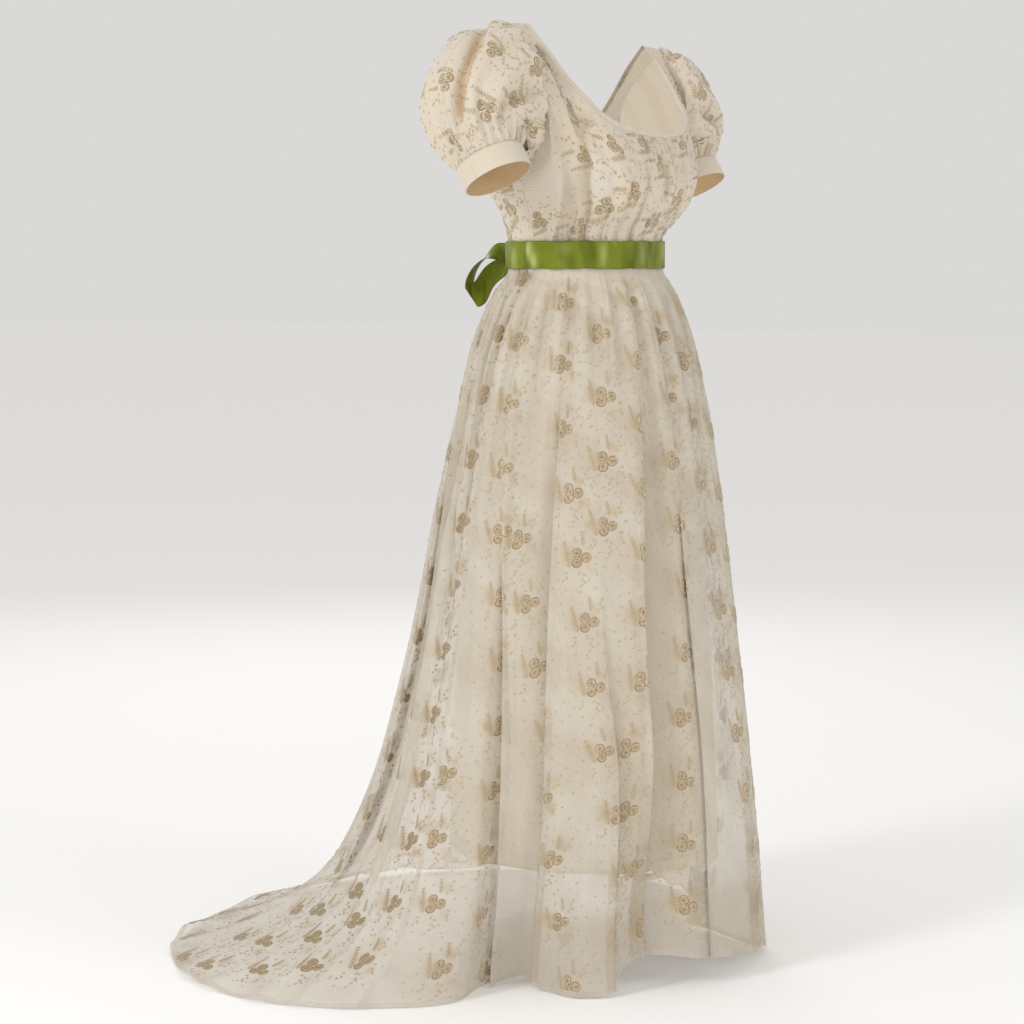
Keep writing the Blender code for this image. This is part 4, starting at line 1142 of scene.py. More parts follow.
def sheer_finish(name, clear):
    """Organza: fine crisp threads with the light coming through between them."""
    made, tree, bsdf = nodes_of(name)
    slubs = noise(tree, (300, 60), 3.0)
    clouds = noise(tree, (16, 9), 3.0)
    # Painted shade down in the folds and below the lining's hem.
    colour = with_painted_light(tree, blend_colours(tree, clouds, ORGANZA_GREY, ORGANZA), FOLD_SHADE, 0.50)
    # Painted shadow of the sprays: tan patches that also let less light through.
    place = add(tree, "ShaderNodeAttribute", attribute_name="spray_shadow")
    spray_shadow = maths(tree, "MULTIPLY", place.outputs["Fac"], clouds)
    colour = tinted(tree, colour, SPRAY_SHADOW_TAN, maths(tree, "MULTIPLY", spray_shadow, 2.0))
    tree.links.new(colour, bsdf.inputs["Base Color"])
    bsdf.inputs["Roughness"].default_value = 0.75
    bsdf.inputs["Specular IOR Level"].default_value = 0.05
    bsdf.inputs["Sheen Weight"].default_value = 0.04
    bsdf.inputs["Sheen Roughness"].default_value = 0.4
    cover = maths(tree, "MULTIPLY_ADD", slubs, 0.16)
    cover.node.inputs[2].default_value = 1 - clear - 0.08
    cover = maths(tree, "ADD", cover, maths(tree, "MULTIPLY", spray_shadow, 0.60))
    tree.links.new(cover, bsdf.inputs["Alpha"])
    height = maths(tree, "ADD", slubs, maths(tree, "MULTIPLY", weave(tree, 1400), 0.35))
    bump(tree, bsdf, height, 0.22, 0.0003)
    return made


def opaque_finish(
    name, colour, second, roughness, sheen, threads, crumple, painted_light_colour=FOLD_SHADE, shown=0.55, glow=0
):
    """A matt cloth with a plain weave, faint clouds of colour and a soft crumple, with painted shade down in
    its folds and, where glow is set, a painted glow of its own colour.
    """
    made, tree, bsdf = nodes_of(name)
    clouds = blend_colours(tree, noise(tree, (22, 13), 4.0), second, colour)
    tree.links.new(with_painted_light(tree, clouds, painted_light_colour, shown), bsdf.inputs["Base Color"])
    # Painted light: the cloth gives off light of its own colour.
    bsdf.inputs["Emission Color"].default_value = (*colour, 1)
    bsdf.inputs["Emission Strength"].default_value = glow
    bsdf.inputs["Roughness"].default_value = roughness
    bsdf.inputs["Sheen Weight"].default_value = sheen
    bsdf.inputs["Sheen Roughness"].default_value = 0.5
    rough = maths(tree, "MULTIPLY", noise(tree, (70, 34), 5.0), crumple)
    height = maths(tree, "ADD", rough, maths(tree, "MULTIPLY", weave(tree, threads), 0.12))
    bump(tree, bsdf, height, 0.55, 0.004)
    return made


def thread_finish(name, colour, second):
    """Twisted silk thread, laid in close stitches."""
    made, tree, bsdf = nodes_of(name)
    patches = noise(tree, (240, 240), 2.0)
    tree.links.new(blend_colours(tree, patches, second, colour), bsdf.inputs["Base Color"])
    bsdf.inputs["Roughness"].default_value = 0.45
    bsdf.inputs["Sheen Weight"].default_value = 0.3
    stitches = add(tree, "ShaderNodeTexWave", Scale=1.0, Distortion=1.5, bands_direction="X")
    tree.links.new(cloth_places(tree, (70, 70)), stitches.inputs["Vector"])
    bump(tree, bsdf, stitches.outputs["Fac"], 0.5, 0.0006)
    return made


def satin_finish(name):
    """Satin ribbon: smooth, with fine ribs across it, random patches of painted highlight and painted shade,
    and painted highlights along the ridges of its creases.
    """
    made, tree, bsdf = nodes_of(name)
    lights = noise(tree, (22, 9), 2.0)
    green = graded(tree, lights, (0.36, GREEN_PAINTED_SHADE), (0.72, GREEN_PAINTED_LIGHT), (0.50, GREEN), (0.60, GREEN))
    tree.links.new(with_painted_light(tree, green, GREEN_PAINTED_HIGHLIGHT, 0.85), bsdf.inputs["Base Color"])
    bsdf.inputs["Roughness"].default_value = 0.38
    bsdf.inputs["Specular IOR Level"].default_value = 0.16
    bsdf.inputs["Anisotropic"].default_value = 0.5
    ribs = noise(tree, (520, 14), 2.0)
    folds = maths(tree, "MULTIPLY", noise(tree, (34, 22), 3.0), 4.0)
    bump(tree, bsdf, maths(tree, "ADD", ribs, folds), 0.35, 0.0014)
    return made


def wandering(angle, share):
    for degrees, turns, waves in WANDER:
        angle = angle + degrees * np.sin(2 * math.pi * turns * share + np.radians(angle * waves))
    return angle


def pleated(angle, share):
    """Where the pleats carry the cloth round to, and how far in it goes."""
    angle = angle + 0 * share
    sweep = np.clip(follow(all_round(CALM_HEM), angle)[..., 3], 0, 1)
    low, high = PLEATS_LIE_DOWN
    standing = 1 - sweep * ease((share - low) / (high - low))
    moved, inward = angle.copy(), np.zeros_like(angle)
    for first, half, last, half_width, depth, side, start, full in SKIRT_PLEATS:
        middle = follow(((0.0, first), (0.2, first), (0.5, half), (1.0, last)), share)[..., 0]
        x = side * turn_between(angle, middle) / half_width
        grown = ease((share - start) / (full - start)) * standing
        window = np.clip(1 - x * x, 0, 1) ** 2
        moved = moved - side * half_width * PLEAT_SWING * grown * np.sin(math.pi * x) * window
        inward = inward + depth * grown * ease((x + 0.4) / 0.8) * (1 - ease((x - 0.5) / 2.2))
    return moved, inward


def valleys(angle, share):
    """Sharp valleys between the gathers, and a finer gathering on top of them."""
    front = (angle + 90) * FRONT_GATHERS
    back = (angle - 90) * BACK_GATHERS
    turn = np.radians(np.where(np.abs(angle) <= 90, front, back))
    depth = follow(VALLEYS, share)[..., 0]
    fine = FINE_GATHER_HEIGHT * ease(share / 0.03) * ease((0.30 - share) / 0.2)
    sharp = np.abs(np.sin(turn)) ** VALLEY_SHARPNESS
    return depth * sharp + fine * np.cos(2 * FINE_GATHERS * turn + 2 * np.sin(turn))


def overskirt(angle, share):
    angle, share = wandering(angle, share), share + 0 * angle
    moved, inward = pleated(angle, share)

    def heights(a, s):
        return skirt_folds(a, s) + valleys(a, s) + inward

    points = raised(skirt_base, heights, moved, share)
    points[..., 2] = np.maximum(points[..., 2], SHEER_WALL)
    return points


def skirt_cloth(start, columns, rows):
    angles = np.linspace(start, start + 180, columns)
    upper, lower = rows // 3, rows - rows // 3
    shares = np.linspace(0, CLOSE_ROWS_END, upper)
    shares = np.concatenate([shares, np.linspace(CLOSE_ROWS_END, 1, lower + 1)[1:]])
    angle, share = np.meshgrid(angles, shares)
    ends = np.sin(np.radians(angle - start)) ** 2
    straight = raised(skirt_base, lambda a, s: skirt_folds(a, s) + valleys(a, s), angle, share)
    straight[..., 2] = np.maximum(straight[..., 2], SHEER_WALL)
    full = overskirt(angle, share)
    near = ease(ends * 12)
    points = full * near[..., None] + straight * (1 - near)[..., None]
    cloth = Cloth(placed(points), angles, shares, False, -1)
    # Painted shade down in the pleats and in the valleys of the gathers.
    inward = pleated(wandering(angle, share), share)[1] * near + valleys(angle, share)
    sweep = np.clip(follow(all_round(CALM_HEM), angle)[..., 3], 0, 1)
    # Painted shade below the lining's hem, fading where the cloth runs along the floor.
    unlined = UNLINED_SHADE * ease((share - UNLINED_FROM) / 0.02) * (1 - sweep)
    cloth.marks["deep"] = np.clip(inward / FULL_PLEAT_DEPTH + unlined, 0, 1)
    return cloth


def strip(cloth, columns, rows, lift):
    """A narrow cloth laid on another along the given columns and rows."""
    column, row = np.meshgrid(columns, rows)
    return Cloth(cloth.at(column, row, lift), columns, rows, False, cloth.side)


class Motif:
    """Raised threads on flat cloth: points as x, y and lift, faces and the thread of each face."""

    def __init__(self):
        self.points, self.faces, self.threads, self.uvs = [], [], [], []

    def thread(self, line, width, height, kind, taper=0.0):
        line = np.array(line, float)
        count = len(line)
        ahead = unit(np.gradient(line, axis=0))
        across = np.stack([-ahead[:, 1], ahead[:, 0]], axis=-1)
        along = np.linspace(0, 1, count)
        half = width / 2 * (1 - taper * (1 - np.sin(math.pi * along) ** 0.7))
        start = len(self.points)
        run = np.concatenate([[0], np.cumsum(np.linalg.norm(np.diff(line, axis=0), axis=1))])
        for k in range(count):
            for side in (-1, 0, 1):
                x, y = line[k] + across[k] * half[k] * side
                self.points.append((x, y, THREAD_BASE if side else height))
                self.uvs.append((run[k], half[k] * side))
        for k in range(count - 1):
            for side in (0, 1):
                a = start + 3 * k + side
                self.faces.append((a, a + 1, a + 4, a + 3))
                self.threads.append(kind)

    def disc(self, x, y, radius, height, kind, sides=10):
        start = len(self.points)
        self.points.append((x, y, height))
        self.uvs.append((x, y))
        for k in range(sides):
            turn = 2 * math.pi * k / sides
            edge = (x + radius * math.cos(turn), y + radius * math.sin(turn))
            self.points.append((*edge, THREAD_BASE))
            self.uvs.append(edge)
        for k in range(sides):
            self.faces.append((start, start + 1 + k, start + 1 + (k + 1) % sides))
            self.threads.append(kind)


GOLD_THREAD, TAN_THREAD, LEAF_THREAD = 0, 1, 2


def rose(motif, x, y, radius, start):
    motif.disc(x, y, radius * 1.12, THREAD_HEIGHT, TAN_THREAD)
    turn = np.linspace(0, 2 * math.pi * ROSE_TURNS, ROSE_STEPS) + start
    reach = np.linspace(radius * 0.95, radius * 0.22, ROSE_STEPS)
    line = np.stack([x + reach * np.cos(turn), y + reach * np.sin(turn)], axis=-1)
    motif.thread(line, ROSE_CORD, CORD_HEIGHT, GOLD_THREAD, 0.3)


def leaf(motif, foot, lean, length, kind=LEAF_THREAD, width=0.52):
    turn = math.radians(lean)
    tip = (foot[0] + length * math.sin(turn), foot[1] - length * math.cos(turn))
    line = [np.array(foot) + (np.array(tip) - foot) * share for share in (0.0, 0.33, 0.67, 1.0)]
    motif.thread(line, length * width, THREAD_HEIGHT, kind, 0.9)


def fern(motif, foot_x, foot_y, tip_x, tip_y, pairs, length):
    foot, tip = np.array([foot_x, foot_y]), np.array([tip_x, tip_y])
    stem = [foot + (tip - foot) * share for share in np.linspace(0, 1, 5)]
    motif.thread(stem, STEM_WIDTH, THREAD_HEIGHT, LEAF_THREAD)
    lean = math.degrees(math.atan2(tip_x - foot_x, foot_y - tip_y))
    for k in range(pairs):
        share = (k + 0.5) / pairs
        at = foot + (tip - foot) * share
        size = length * (1 - 0.45 * share)
        for side in (-1, 1):
            leaf(motif, tuple(at), lean + side * LEAF_SPREAD, size, LEAF_THREAD, 0.36)


def sprig(motif, stem, leaves):
    knots = np.column_stack([np.linspace(0, 1, len(stem)), stem])
    along = np.linspace(0, 1, 7)
    line = follow(knots, along)
    for place, side, length in leaves:
        foot = [np.interp(place, along, line[:, k]) for k in range(2)]
        ahead = follow(knots, np.array([min(place + 0.1, 1)]))[0] - follow(knots, np.array([place - 0.1]))[0]
        lean = math.degrees(math.atan2(ahead[0], -ahead[1]))
        leaf(motif, tuple(foot), lean + side * LEAF_SPREAD, length)


def spray():
    """The whole repeat: three roses, ferns, sprigs and loose seeds."""
    motif = Motif()
    for k, (x, y, radius) in enumerate(ROSES):
        rose(motif, x, y, radius, 1.1 + 2.1 * k)
    for row in FERNS:
        fern(motif, *row)
    for stem, leaves in SPRIGS:
        sprig(motif, stem, leaves)
    for x, y, length, lean in SEEDS:
        leaf(motif, (x, y), lean, length)
    return motif


def columns_beside(cloth, column, row, x):
    """Columns at these distances along the cloth from one column, measured over its folds."""
    k = int(np.argmin(np.abs(cloth.rows - row)))
    run = lengths(cloth.wrapped(cloth.points)[k][None], 1)[0]
    if not cloth.closed:
        return np.interp(np.interp(column, cloth.columns, run) + x, run, cloth.columns)
    columns = np.append(cloth.columns, cloth.columns[0] + 360)
    at = np.interp(column % 360, columns, run) + x
    return np.interp(at % run[-1], run, columns)


def embroider(name, cloth, places, finishes, turned, lift):
    """Sprays laid on a cloth. Each place is its column, row, which way x runs and rows to a metre."""
    motif = spray()
    local = np.array(motif.points)
    faces = np.array([face if len(face) == 4 else face + face[:1] for face in motif.faces])
    chance = np.random.default_rng(len(places))
    points, all_faces, uvs, threads = [], [], [], []
    for number, (column, row, way, per_down) in enumerate(places):
        lean = math.radians(turned + chance.uniform(-SPRAY_LEAN, SPRAY_LEAN))
        size = chance.uniform(*SPRAY_SIZES)
        x = size * (local[:, 0] * math.cos(lean) + local[:, 1] * math.sin(lean))
        y = size * (local[:, 1] * math.cos(lean) - local[:, 0] * math.sin(lean))
        at_column, at_row = columns_beside(cloth, column, row, x * way), row + y * per_down
        inside = (at_row > cloth.rows[0] + 0.004) & (at_row < cloth.rows[-1] - 0.004)
        if not cloth.closed:
            inside &= (at_column > cloth.columns[0]) & (at_column < cloth.columns[-1])
        kept = inside[faces].all(axis=1)
        laid = cloth.at(at_column, np.clip(at_row, cloth.rows[0], cloth.rows[-1]), local[:, 2] + lift)
        first = laid[faces[:, :3]]
        out = np.cross(first[:, 1] - first[:, 0], first[:, 2] - first[:, 0])
        flat = cloth.at(at_column[faces[:, 0]], np.clip(at_row[faces[:, 0]], 0, 1), 0.001)
        flat = flat - cloth.at(at_column[faces[:, 0]], np.clip(at_row[faces[:, 0]], 0, 1), 0)
        wrong = (out * flat).sum(axis=1).sum() < 0
        for face, thread in zip(faces[kept], np.array(motif.threads)[kept]):
            corners = [int(v) + number * len(local) for v in (face[::-1] if wrong else face)]
            all_faces.append(tuple(dict.fromkeys(corners)))
            threads.append(int(thread))
        points.append(laid)
        uvs.append(local[:, :2] + number * 0.11)
    points, uvs = np.concatenate(points), np.concatenate(uvs)
    used = np.unique(np.concatenate([np.array(face) for face in all_faces]))
    renumber = np.full(len(points), -1)
    renumber[used] = np.arange(len(used))
    all_faces = [tuple(int(renumber[v]) for v in face) for face in all_faces]
    return new_object(name, points[used], all_faces, uvs[used], finishes, threads)


def columns_of(cloth, first, last, pitch, closest):
    """Columns of sprays at even distances along the hem, each with the row where it first has room."""
    points = cloth.points
    hem = lengths(points[-1:], 1)[0]
    low, high = np.interp((first, last), cloth.columns, hem)
    count = max(1, round((high - low) / pitch))
    at = np.linspace(low, high, count + 1)
    at = (at[1:] + at[:-1]) / 2
    columns = np.interp(at, hem, cloth.columns)
    made = []
    for k, column in enumerate(columns):
        level = 2 if k % 4 == 2 else 4 if k % 4 == 0 else 1
        apart = abs(columns[min(k + level, count - 1)] - columns[max(k - level, 0)])
        apart = apart / max(min(k + level, count - 1) - max(k - level, 0), 1) * level
        per = np.array([
            abs(np.interp(column + 2, cloth.columns, run) - np.interp(column - 2, cloth.columns, run)) / 4
            for run in lengths(points, 1)
        ])
        room = np.nonzero(per * apart > closest)[0]
        made.append((column, cloth.rows[room[0]] if len(room) and level < 4 else 0.0, k))
    return made


def rows_to_a_metre(base, column, row, step=0.01):
    """Rows to a metre at a place on a smooth surface."""
    high, low = min(row + step, 1), max(row - step, 0)
    return (high - low) / np.linalg.norm(base(column, high) - base(column, low))


def one(surface):
    """A surface's function for a single place."""
    return lambda column, row: surface(np.array([float(column)]), np.array([float(row)]))[0]


def down_the_column(column_at, first, last):
    """Places of the sprays down one column, its angle given by its share."""
    base = one(skirt_base)
    shares = np.linspace(0, 1, 121)
    run = lengths(np.array([base(column_at(share), share) for share in shares])[None], 1)[0]
    down = np.interp(first, shares, run)
    places = []
    while down < np.interp(last, shares, run) - 0.006:
        share = np.interp(down, run, shares)
        places.append((column_at(share), share, -1, rows_to_a_metre(base, column_at(share), share)))
        down += REPEAT_DOWN
    return places


def front_places():
    places = []
    for angles, first, last in FRONT_COLUMNS:
        knots = tuple(zip(COLUMN_SHARES, angles))
        column_at = lambda share, knots=knots: float(follow(knots, share)[..., 0])
        places += down_the_column(column_at, first, last)
    return places


def back_places(cloth):
    places = []
    first_column, last_column = cloth.columns[[0, -1]]
    for column, first, k in columns_of(cloth, first_column, last_column, REPEAT_ACROSS, CLOSEST_COLUMNS):
        start = 0.03 + (0.045 if k % 2 else 0)
        while start < first:
            start += REPEAT_DOWN / 1.2
        places += down_the_column(lambda share, column=column: column, start, 1.0)
    return places


def spots(surface, table, way_across, way_up):
    """Places of sprays given as a table, with which way the spray runs across and along the panel."""
    base = one(surface)
    places = []
    for column, row in table:
        places.append((column, row, way_across, way_up * rows_to_a_metre(base, column, row)))
    return places


def painted_spray_shadows(cloth, places):
    """Painted shadow: soft uneven patches beside the sprays, standing for their shadows on the lining."""
    chance = np.random.default_rng(len(places))
    spray_shadow = np.zeros(cloth.points.shape[:2])
    for column, row, way, per_down in places:
        for reach, aside, down in SPRAY_SHADOW_PATCHES:
            reach, aside, down = (reach, aside, down) * chance.uniform(0.7, 1.3, 3)
            at_column = columns_beside(cloth, column, row, np.array([aside * way]))
            at_row = np.array([np.clip(row + down * per_down, 0, 1)])
            away = np.linalg.norm(cloth.points - cloth.at(at_column, at_row, 0.0)[0], axis=-1) / reach
            spray_shadow = np.maximum(spray_shadow, chance.uniform(0.5, 1.0) * np.exp(-away * away))
    return spray_shadow


def make_overskirt(looks):
    sides = (
        ("front", -90, SKIRT_FRONT_GRID, "threads"),
        ("back", 90, SKIRT_BACK_GRID, "train_shaded_threads"),
    )
    made = {}
    for which, start, grid, thread_look in sides:
        cloth = skirt_cloth(start, *grid)
        name = f"overskirt_{which}"
        places = front_places() if which == "front" else back_places(cloth)
        # Painted shadow beside the sprays.
        cloth.marks["spray_shadow"] = painted_spray_shadows(cloth, places)
        sheet = lay(name, cloth, [looks["sheer"]], 0, (f"skirt_{which}",))
        threads = embroider(f"{name}_embroidery", cloth, places, looks[thread_look], 0, 0)
        hem = strip(cloth, cloth.columns, np.linspace(1 - HEM_SHARE, 1, 3), HEM_LIFT)
        hem = lay(f"{name}_hem", hem, [looks["sheer_hem"]], 0)
        seam_columns = np.linspace(start + 0.02, start + SEAM_DEGREES, 3)
        seam = strip(cloth, seam_columns, cloth.rows, HEM_LIFT)
        seam = lay(f"{name}_seam", seam, [looks["sheer_hem"]], 0)
        made[which] = (sheet, [threads, hem, seam])
    return made


def lining_cloth(start, columns, rows):
    angles = np.linspace(start, start + 180, columns)
    shares = np.linspace(0, 1, rows)
    angle, share = np.meshgrid(angles, shares)
    points = lining_base(angle, share)
    return Cloth(placed(points), angles, shares, False, -1)


def make_lining(looks):
    made = []
    for which, start in (("front", -90), ("back", 90)):
        cloth = lining_cloth(start, *LINING_GRID)
        finish = [looks["lining"]]
        name = f"lining_{which}"
        sheet = lay(f"{name}_cloth", cloth, finish, LINING_SHELL, (name,))
        hem = strip(cloth, cloth.columns, np.linspace(1 - LINING_HEM_SHARE, 1, 3), LINING_HEM_LIFT)
        hem = lay(f"{name}_hem", hem, finish, LINING_HEM_SHELL)
        made.append((sheet, [hem]))
    return made


def bodice_pleats(angle, share):
    """How deep the front's pleats are at each place."""
    inward = np.zeros_like(angle + share)
    for low, half, high, depth, half_width, soft, start, end in BODICE_PLEATS:
        middle = follow(tuple(zip(PLEAT_KNOTS, (low, half, high))), share)[..., 0]
        x = soft * turn_between(angle, middle) / half_width
        x = np.where(x < 0, x / SHARP_SIDE, x)
        grown = ease((share - start + 0.06) / 0.12) if start else 1.0
        if end < 1:
            grown = grown * ease((end - share) / 0.25)
        inward = inward + depth * grown * np.exp(-x * x) * ease(share / 0.10 + 0.15)
    return inward * (1 - NECK_FLATNESS * ease((share - 0.86) / 0.13))


def bodice_height(angle, share):
    """How far the front's pleats and gathers stand out from its smooth form."""
    height = bodice_folds(angle, share) - bodice_pleats(angle, share)
    for first, last, waves, size, best, reach in BODICE_RUFFLES:
        across = (angle - first) / (last - first)
        window = ease(across * 8) * ease((1 - across) * 8)
        near = np.exp(-(((share - best) / reach) ** 2)) * ease(share / 0.07)
        wave = np.cos(2 * math.pi * waves * across + 1.5 * np.sin(across * 9))
        height = height + size * window * near * wave
    return height


def panel_cloth(surface, height, angles, rows):
    shares = np.linspace(0, 1, rows)
    angle, share = np.meshgrid(angles, shares)
    return Cloth(placed(raised(surface, height, angle, share)), angles, shares, False, 1)


def back_height(angle, share):
    """Light gathers of the back panels above the waist."""
    wave = np.cos(np.radians((angle - 90) * 16)) * np.exp(-(((share - 0.12) / 0.16) ** 2))
    return 0.0010 * wave * ease(share / 0.07)


def make_bodice(looks):
    made = []
    finish = [looks["bodice"], looks["inside_body"]]
    columns, rows = BODICE_FRONT_GRID
    front = panel_cloth(front_base, bodice_height, np.linspace(-90, 90, columns), rows)
    pleats = bodice_pleats(*np.meshgrid(front.columns, front.rows))
    # Painted shade down in the bodice's pleats.
    front.marks["deep"] = np.clip(pleats / FULL_SHADE_DEPTH, 0, 1) ** 2
    sheet = lay("bodice_front_cloth", front, finish, BODICE_SHELL, ("bodice_front",), 1)
    places = spots(front_base, BODICE_SPRAYS, -1, -1)
    threads = embroider("bodice_front_embroidery", front, places, looks["threads"], 90, BODICE_THREAD_LIFT)
    made.append((sheet, [threads]))
    columns, rows = BODICE_BACK_GRID
    right = panel_cloth(back_base, back_height, np.linspace(90, BACK_SEAM_ANGLE, columns), rows)
    for which, cloth in (("right", right), ("left", right.mirrored())):
        if which == "left":
            cloth.points = placed_left(right.points)
        node = f"bodice_back_{which}"
        sheet = lay(f"{node}_cloth", cloth, finish, BODICE_SHELL, (node,), 1)
        places = spots(back_base, BACK_SPRAYS, -1, -1)
        threads = embroider(f"{node}_embroidery", cloth, places, looks["threads"], 90, BODICE_THREAD_LIFT)
        made.append((sheet, [threads]))
    return made


def placed_left(right):
    """Mirrored points of the right side, with the left shoulder's own drop."""
    up = right.copy()
    up[..., 2] += ORIGIN_HEIGHT
    undone = up.copy()
    for _ in range(3):
        undone[..., 2] += up[..., 2] - leaning(undone)[..., 2]
    undone[..., 0] *= -1
    return placed(undone)


def make_binding(looks):
    """The narrow band round the neckline, a little rounded."""
    inner = STRAP_ANGLES[0]
    front = np.linspace(-inner, inner, 161)
    back = np.linspace(180 - inner, 180 + inner, 141)

    def front_surface(angle, share):
        return raised(front_base, bodice_height, angle, share)

    front_edge, front_out = neckline(front_surface, front, 0)
    back_edge, back_out = neckline(back_base, back, 180)
    edge = np.concatenate([front_edge, back_edge])
    out = np.concatenate([front_out, back_out])
    shares = np.array([-0.12, 0.0, 0.2, 0.45, 0.7, 0.9, 1.0])
    rows = np.stack([edge + out * (3 * SEAM_GAP + BINDING_WIDTH * share) for share in shares])
    cloth = Cloth(placed(rows), np.arange(rows.shape[1]), shares, True, 1)
    puff = 0.0007 * np.sin(math.pi * np.clip(shares, 0, 1))
    cloth.points = cloth.points + cloth.normals * puff[:, None, None]
    return lay("neck_binding_cloth", cloth, [looks["plain"]], BODICE_SHELL, ("neck_binding",))


def sleeve_cloth(columns, rows):
    """The right sleeve: the armhole's line and the rings, joined by smooth lines down the cloth."""
    shares = np.linspace(0, 1, rows)
    turn = np.linspace(0, 360, columns, endpoint=False)
    start = armhole(columns) + np.array([ARMHOLE_GAP, 0, 0])
    rings = [start] + [ring(turn, np.array(row[1:], float)) for row in SLEEVE_RINGS]
    knots = np.array([0.0] + [row[0] for row in SLEEVE_RINGS])
    flat = np.stack(rings).reshape(len(rings), -1)
    points = follow(np.column_stack([knots, flat]), shares).reshape(rows, columns, 3)
    normal = normals_of(points, True)
    gather = follow(SLEEVE_GATHER_HEIGHT, shares)
    wave = np.cos(np.radians(turn * SLEEVE_GATHERS + SLEEVE_GATHER_TURN * np.sin(np.radians(2 * turn))))
    ruffle = np.cos(np.radians(turn * SLEEVE_FINE_WAVES) + 2 * np.sin(np.radians(turn * 3)))
    height = gather * wave + follow(SLEEVE_FINE, shares) * ruffle
    shape = shares[:, None]
    deep = np.zeros_like(height)
    for first, half, last, depth, half_width, begin, end, shown in SLEEVE_CREASES:
        middle = follow(tuple(zip(CREASE_KNOTS, (first, half, last))), shape)[..., 0]
        x = turn_between(turn[None], middle) / half_width
        x = np.where(x > 0, x / DEEP_FOLD_STEEP, x)
        faded = ease((end - shape) / 0.22) if end < 1 else ease((1 - shape) * 7)
        grown = ease((shape - begin) / 0.16) * faded
        height = height - depth * grown * np.exp(-x * x)
        # Painted shade in the hollow of the crease.
        deep = np.maximum(deep, shown * ease((grown * np.exp(-x * x) - 0.30) / 0.35))
    height = height - SLEEVE_EASE * ease(shape * 3)
    cloth = Cloth(points + normal * height[..., None], turn, shares, True, 1)
    cloth.marks["deep"] = deep
    return cloth


def sleeve_places(cloth):
    places = []
    for turn, share in SLEEVE_SPRAYS:
        k = int(np.argmin(np.abs(cloth.rows - share)))
        low, high = max(k - 3, 0), min(k + 3, len(cloth.rows) - 1)
        j = int(turn / 360 * len(cloth.columns))
        down = lengths(cloth.points[low:high + 1, j:j + 1], 0)[-1, 0]
        places.append((turn, share, -1, (cloth.rows[high] - cloth.rows[low]) / down))
    return places


def make_sleeves(looks):
    made = []
    right = sleeve_cloth(*SLEEVE_GRID)
    raw = right.points
    finish = [looks["sleeve"], looks["inside_sleeve"]]
    for which in ("right", "left"):
        cloth = Cloth(placed(raw), right.columns, right.rows, True, 1)
        if which == "left":
            cloth = Cloth(placed(raw * (-1, 1, 1)), right.columns, right.rows, True, -1)
        cloth.marks = right.marks
        name = f"sleeve_{which}_cloth"
        sheet = lay(name, cloth, finish, SLEEVE_SHELL, (f"sleeve_{which}",), 1)
        places = sleeve_places(cloth)
        name = f"sleeve_{which}_embroidery"
        threads = embroider(name, cloth, places, looks["threads"], -90, SLEEVE_THREAD_LIFT)
        made.append((sheet, [threads]))
    return made


def make_cuffs(looks):
    made = []
    turn = np.linspace(0, 360, CUFF_COLUMNS, endpoint=False)
    top = ring(turn, np.array(SLEEVE_RINGS[-1][1:], float))
    axis = np.array(CUFF_AXIS)
    shares = np.array([-0.13, 0.0, 0.06, 0.2, 0.4, 0.6, 0.8, 0.94, 1.0])
    raw = np.stack([top + axis * (3 * SEAM_GAP + CUFF_WIDTH * share) for share in shares])
    for which, mirror, side in (("right", 1, 1), ("left", -1, -1)):
        cloth = Cloth(placed(raw * (mirror, 1, 1)), turn, shares, True, side)
        puff = 0.0006 * np.sin(math.pi * np.clip(shares, 0, 1)) ** 0.5
        cloth.points = cloth.points + cloth.normals * puff[:, None, None]
        finish = [looks["plain"], looks["inside"]]
        name = f"cuff_{which}"
        made.append(lay(f"{name}_cloth", cloth, finish, CUFF_SHELL, (name,), 1))
    return made


def make_sash(looks):
    out = BODICE_WALL / 2 + LAYER_GAP + RIBBON_WALL / 2
    columns, rows = SASH_GRID
    angles = np.linspace(0, 360, columns, endpoint=False)
    shares = np.linspace(0, 1, rows)
    angle, share = np.meshgrid(angles, shares)
    plan = ellipse(angle, WAIST_HALF_WIDTH + out, WAIST_HALF_DEPTH + out)
    ripple = 0.0004 * np.sin(np.radians(angle * 9)) + 0.0003 * np.sin(np.radians(angle * 23 + 40))
    height = WAIST_HEIGHT + (0.5 - share) * SASH_WIDTH + ripple * np.abs(2 * share - 1)
    cloth = Cloth(placed(np.concatenate([plan, height[..., None]], axis=-1)), angles, shares, True, -1)
    dent = np.zeros_like(angle)
    for middle, up, depth, half_width, half_height in SASH_DENTS:
        x = turn_between(angle, middle) / half_width
        y = ((0.5 - share) * SASH_WIDTH - up) / half_height
        dent += depth * np.exp(-x * x - y * y)
    cloth.points = cloth.points + cloth.normals * (0.0004 - dent)[..., None]
    # Painted highlight on the ridges of the sash.
    cloth.marks["deep"] = np.clip(-dent / SASH_FULL_SHEEN, 0, 1) ** 1.5
    return lay("sash_ribbon", cloth, [looks["satin"]], RIBBON_SHELL, ("sash",))


def ribbon(name, rows, looks, node, side=1):
    cloth = Cloth(rows, np.arange(rows.shape[1]), np.linspace(0, 1, rows.shape[0]), False, side)
    return lay(name, cloth, [looks["satin"]], RIBBON_SHELL, (node,))


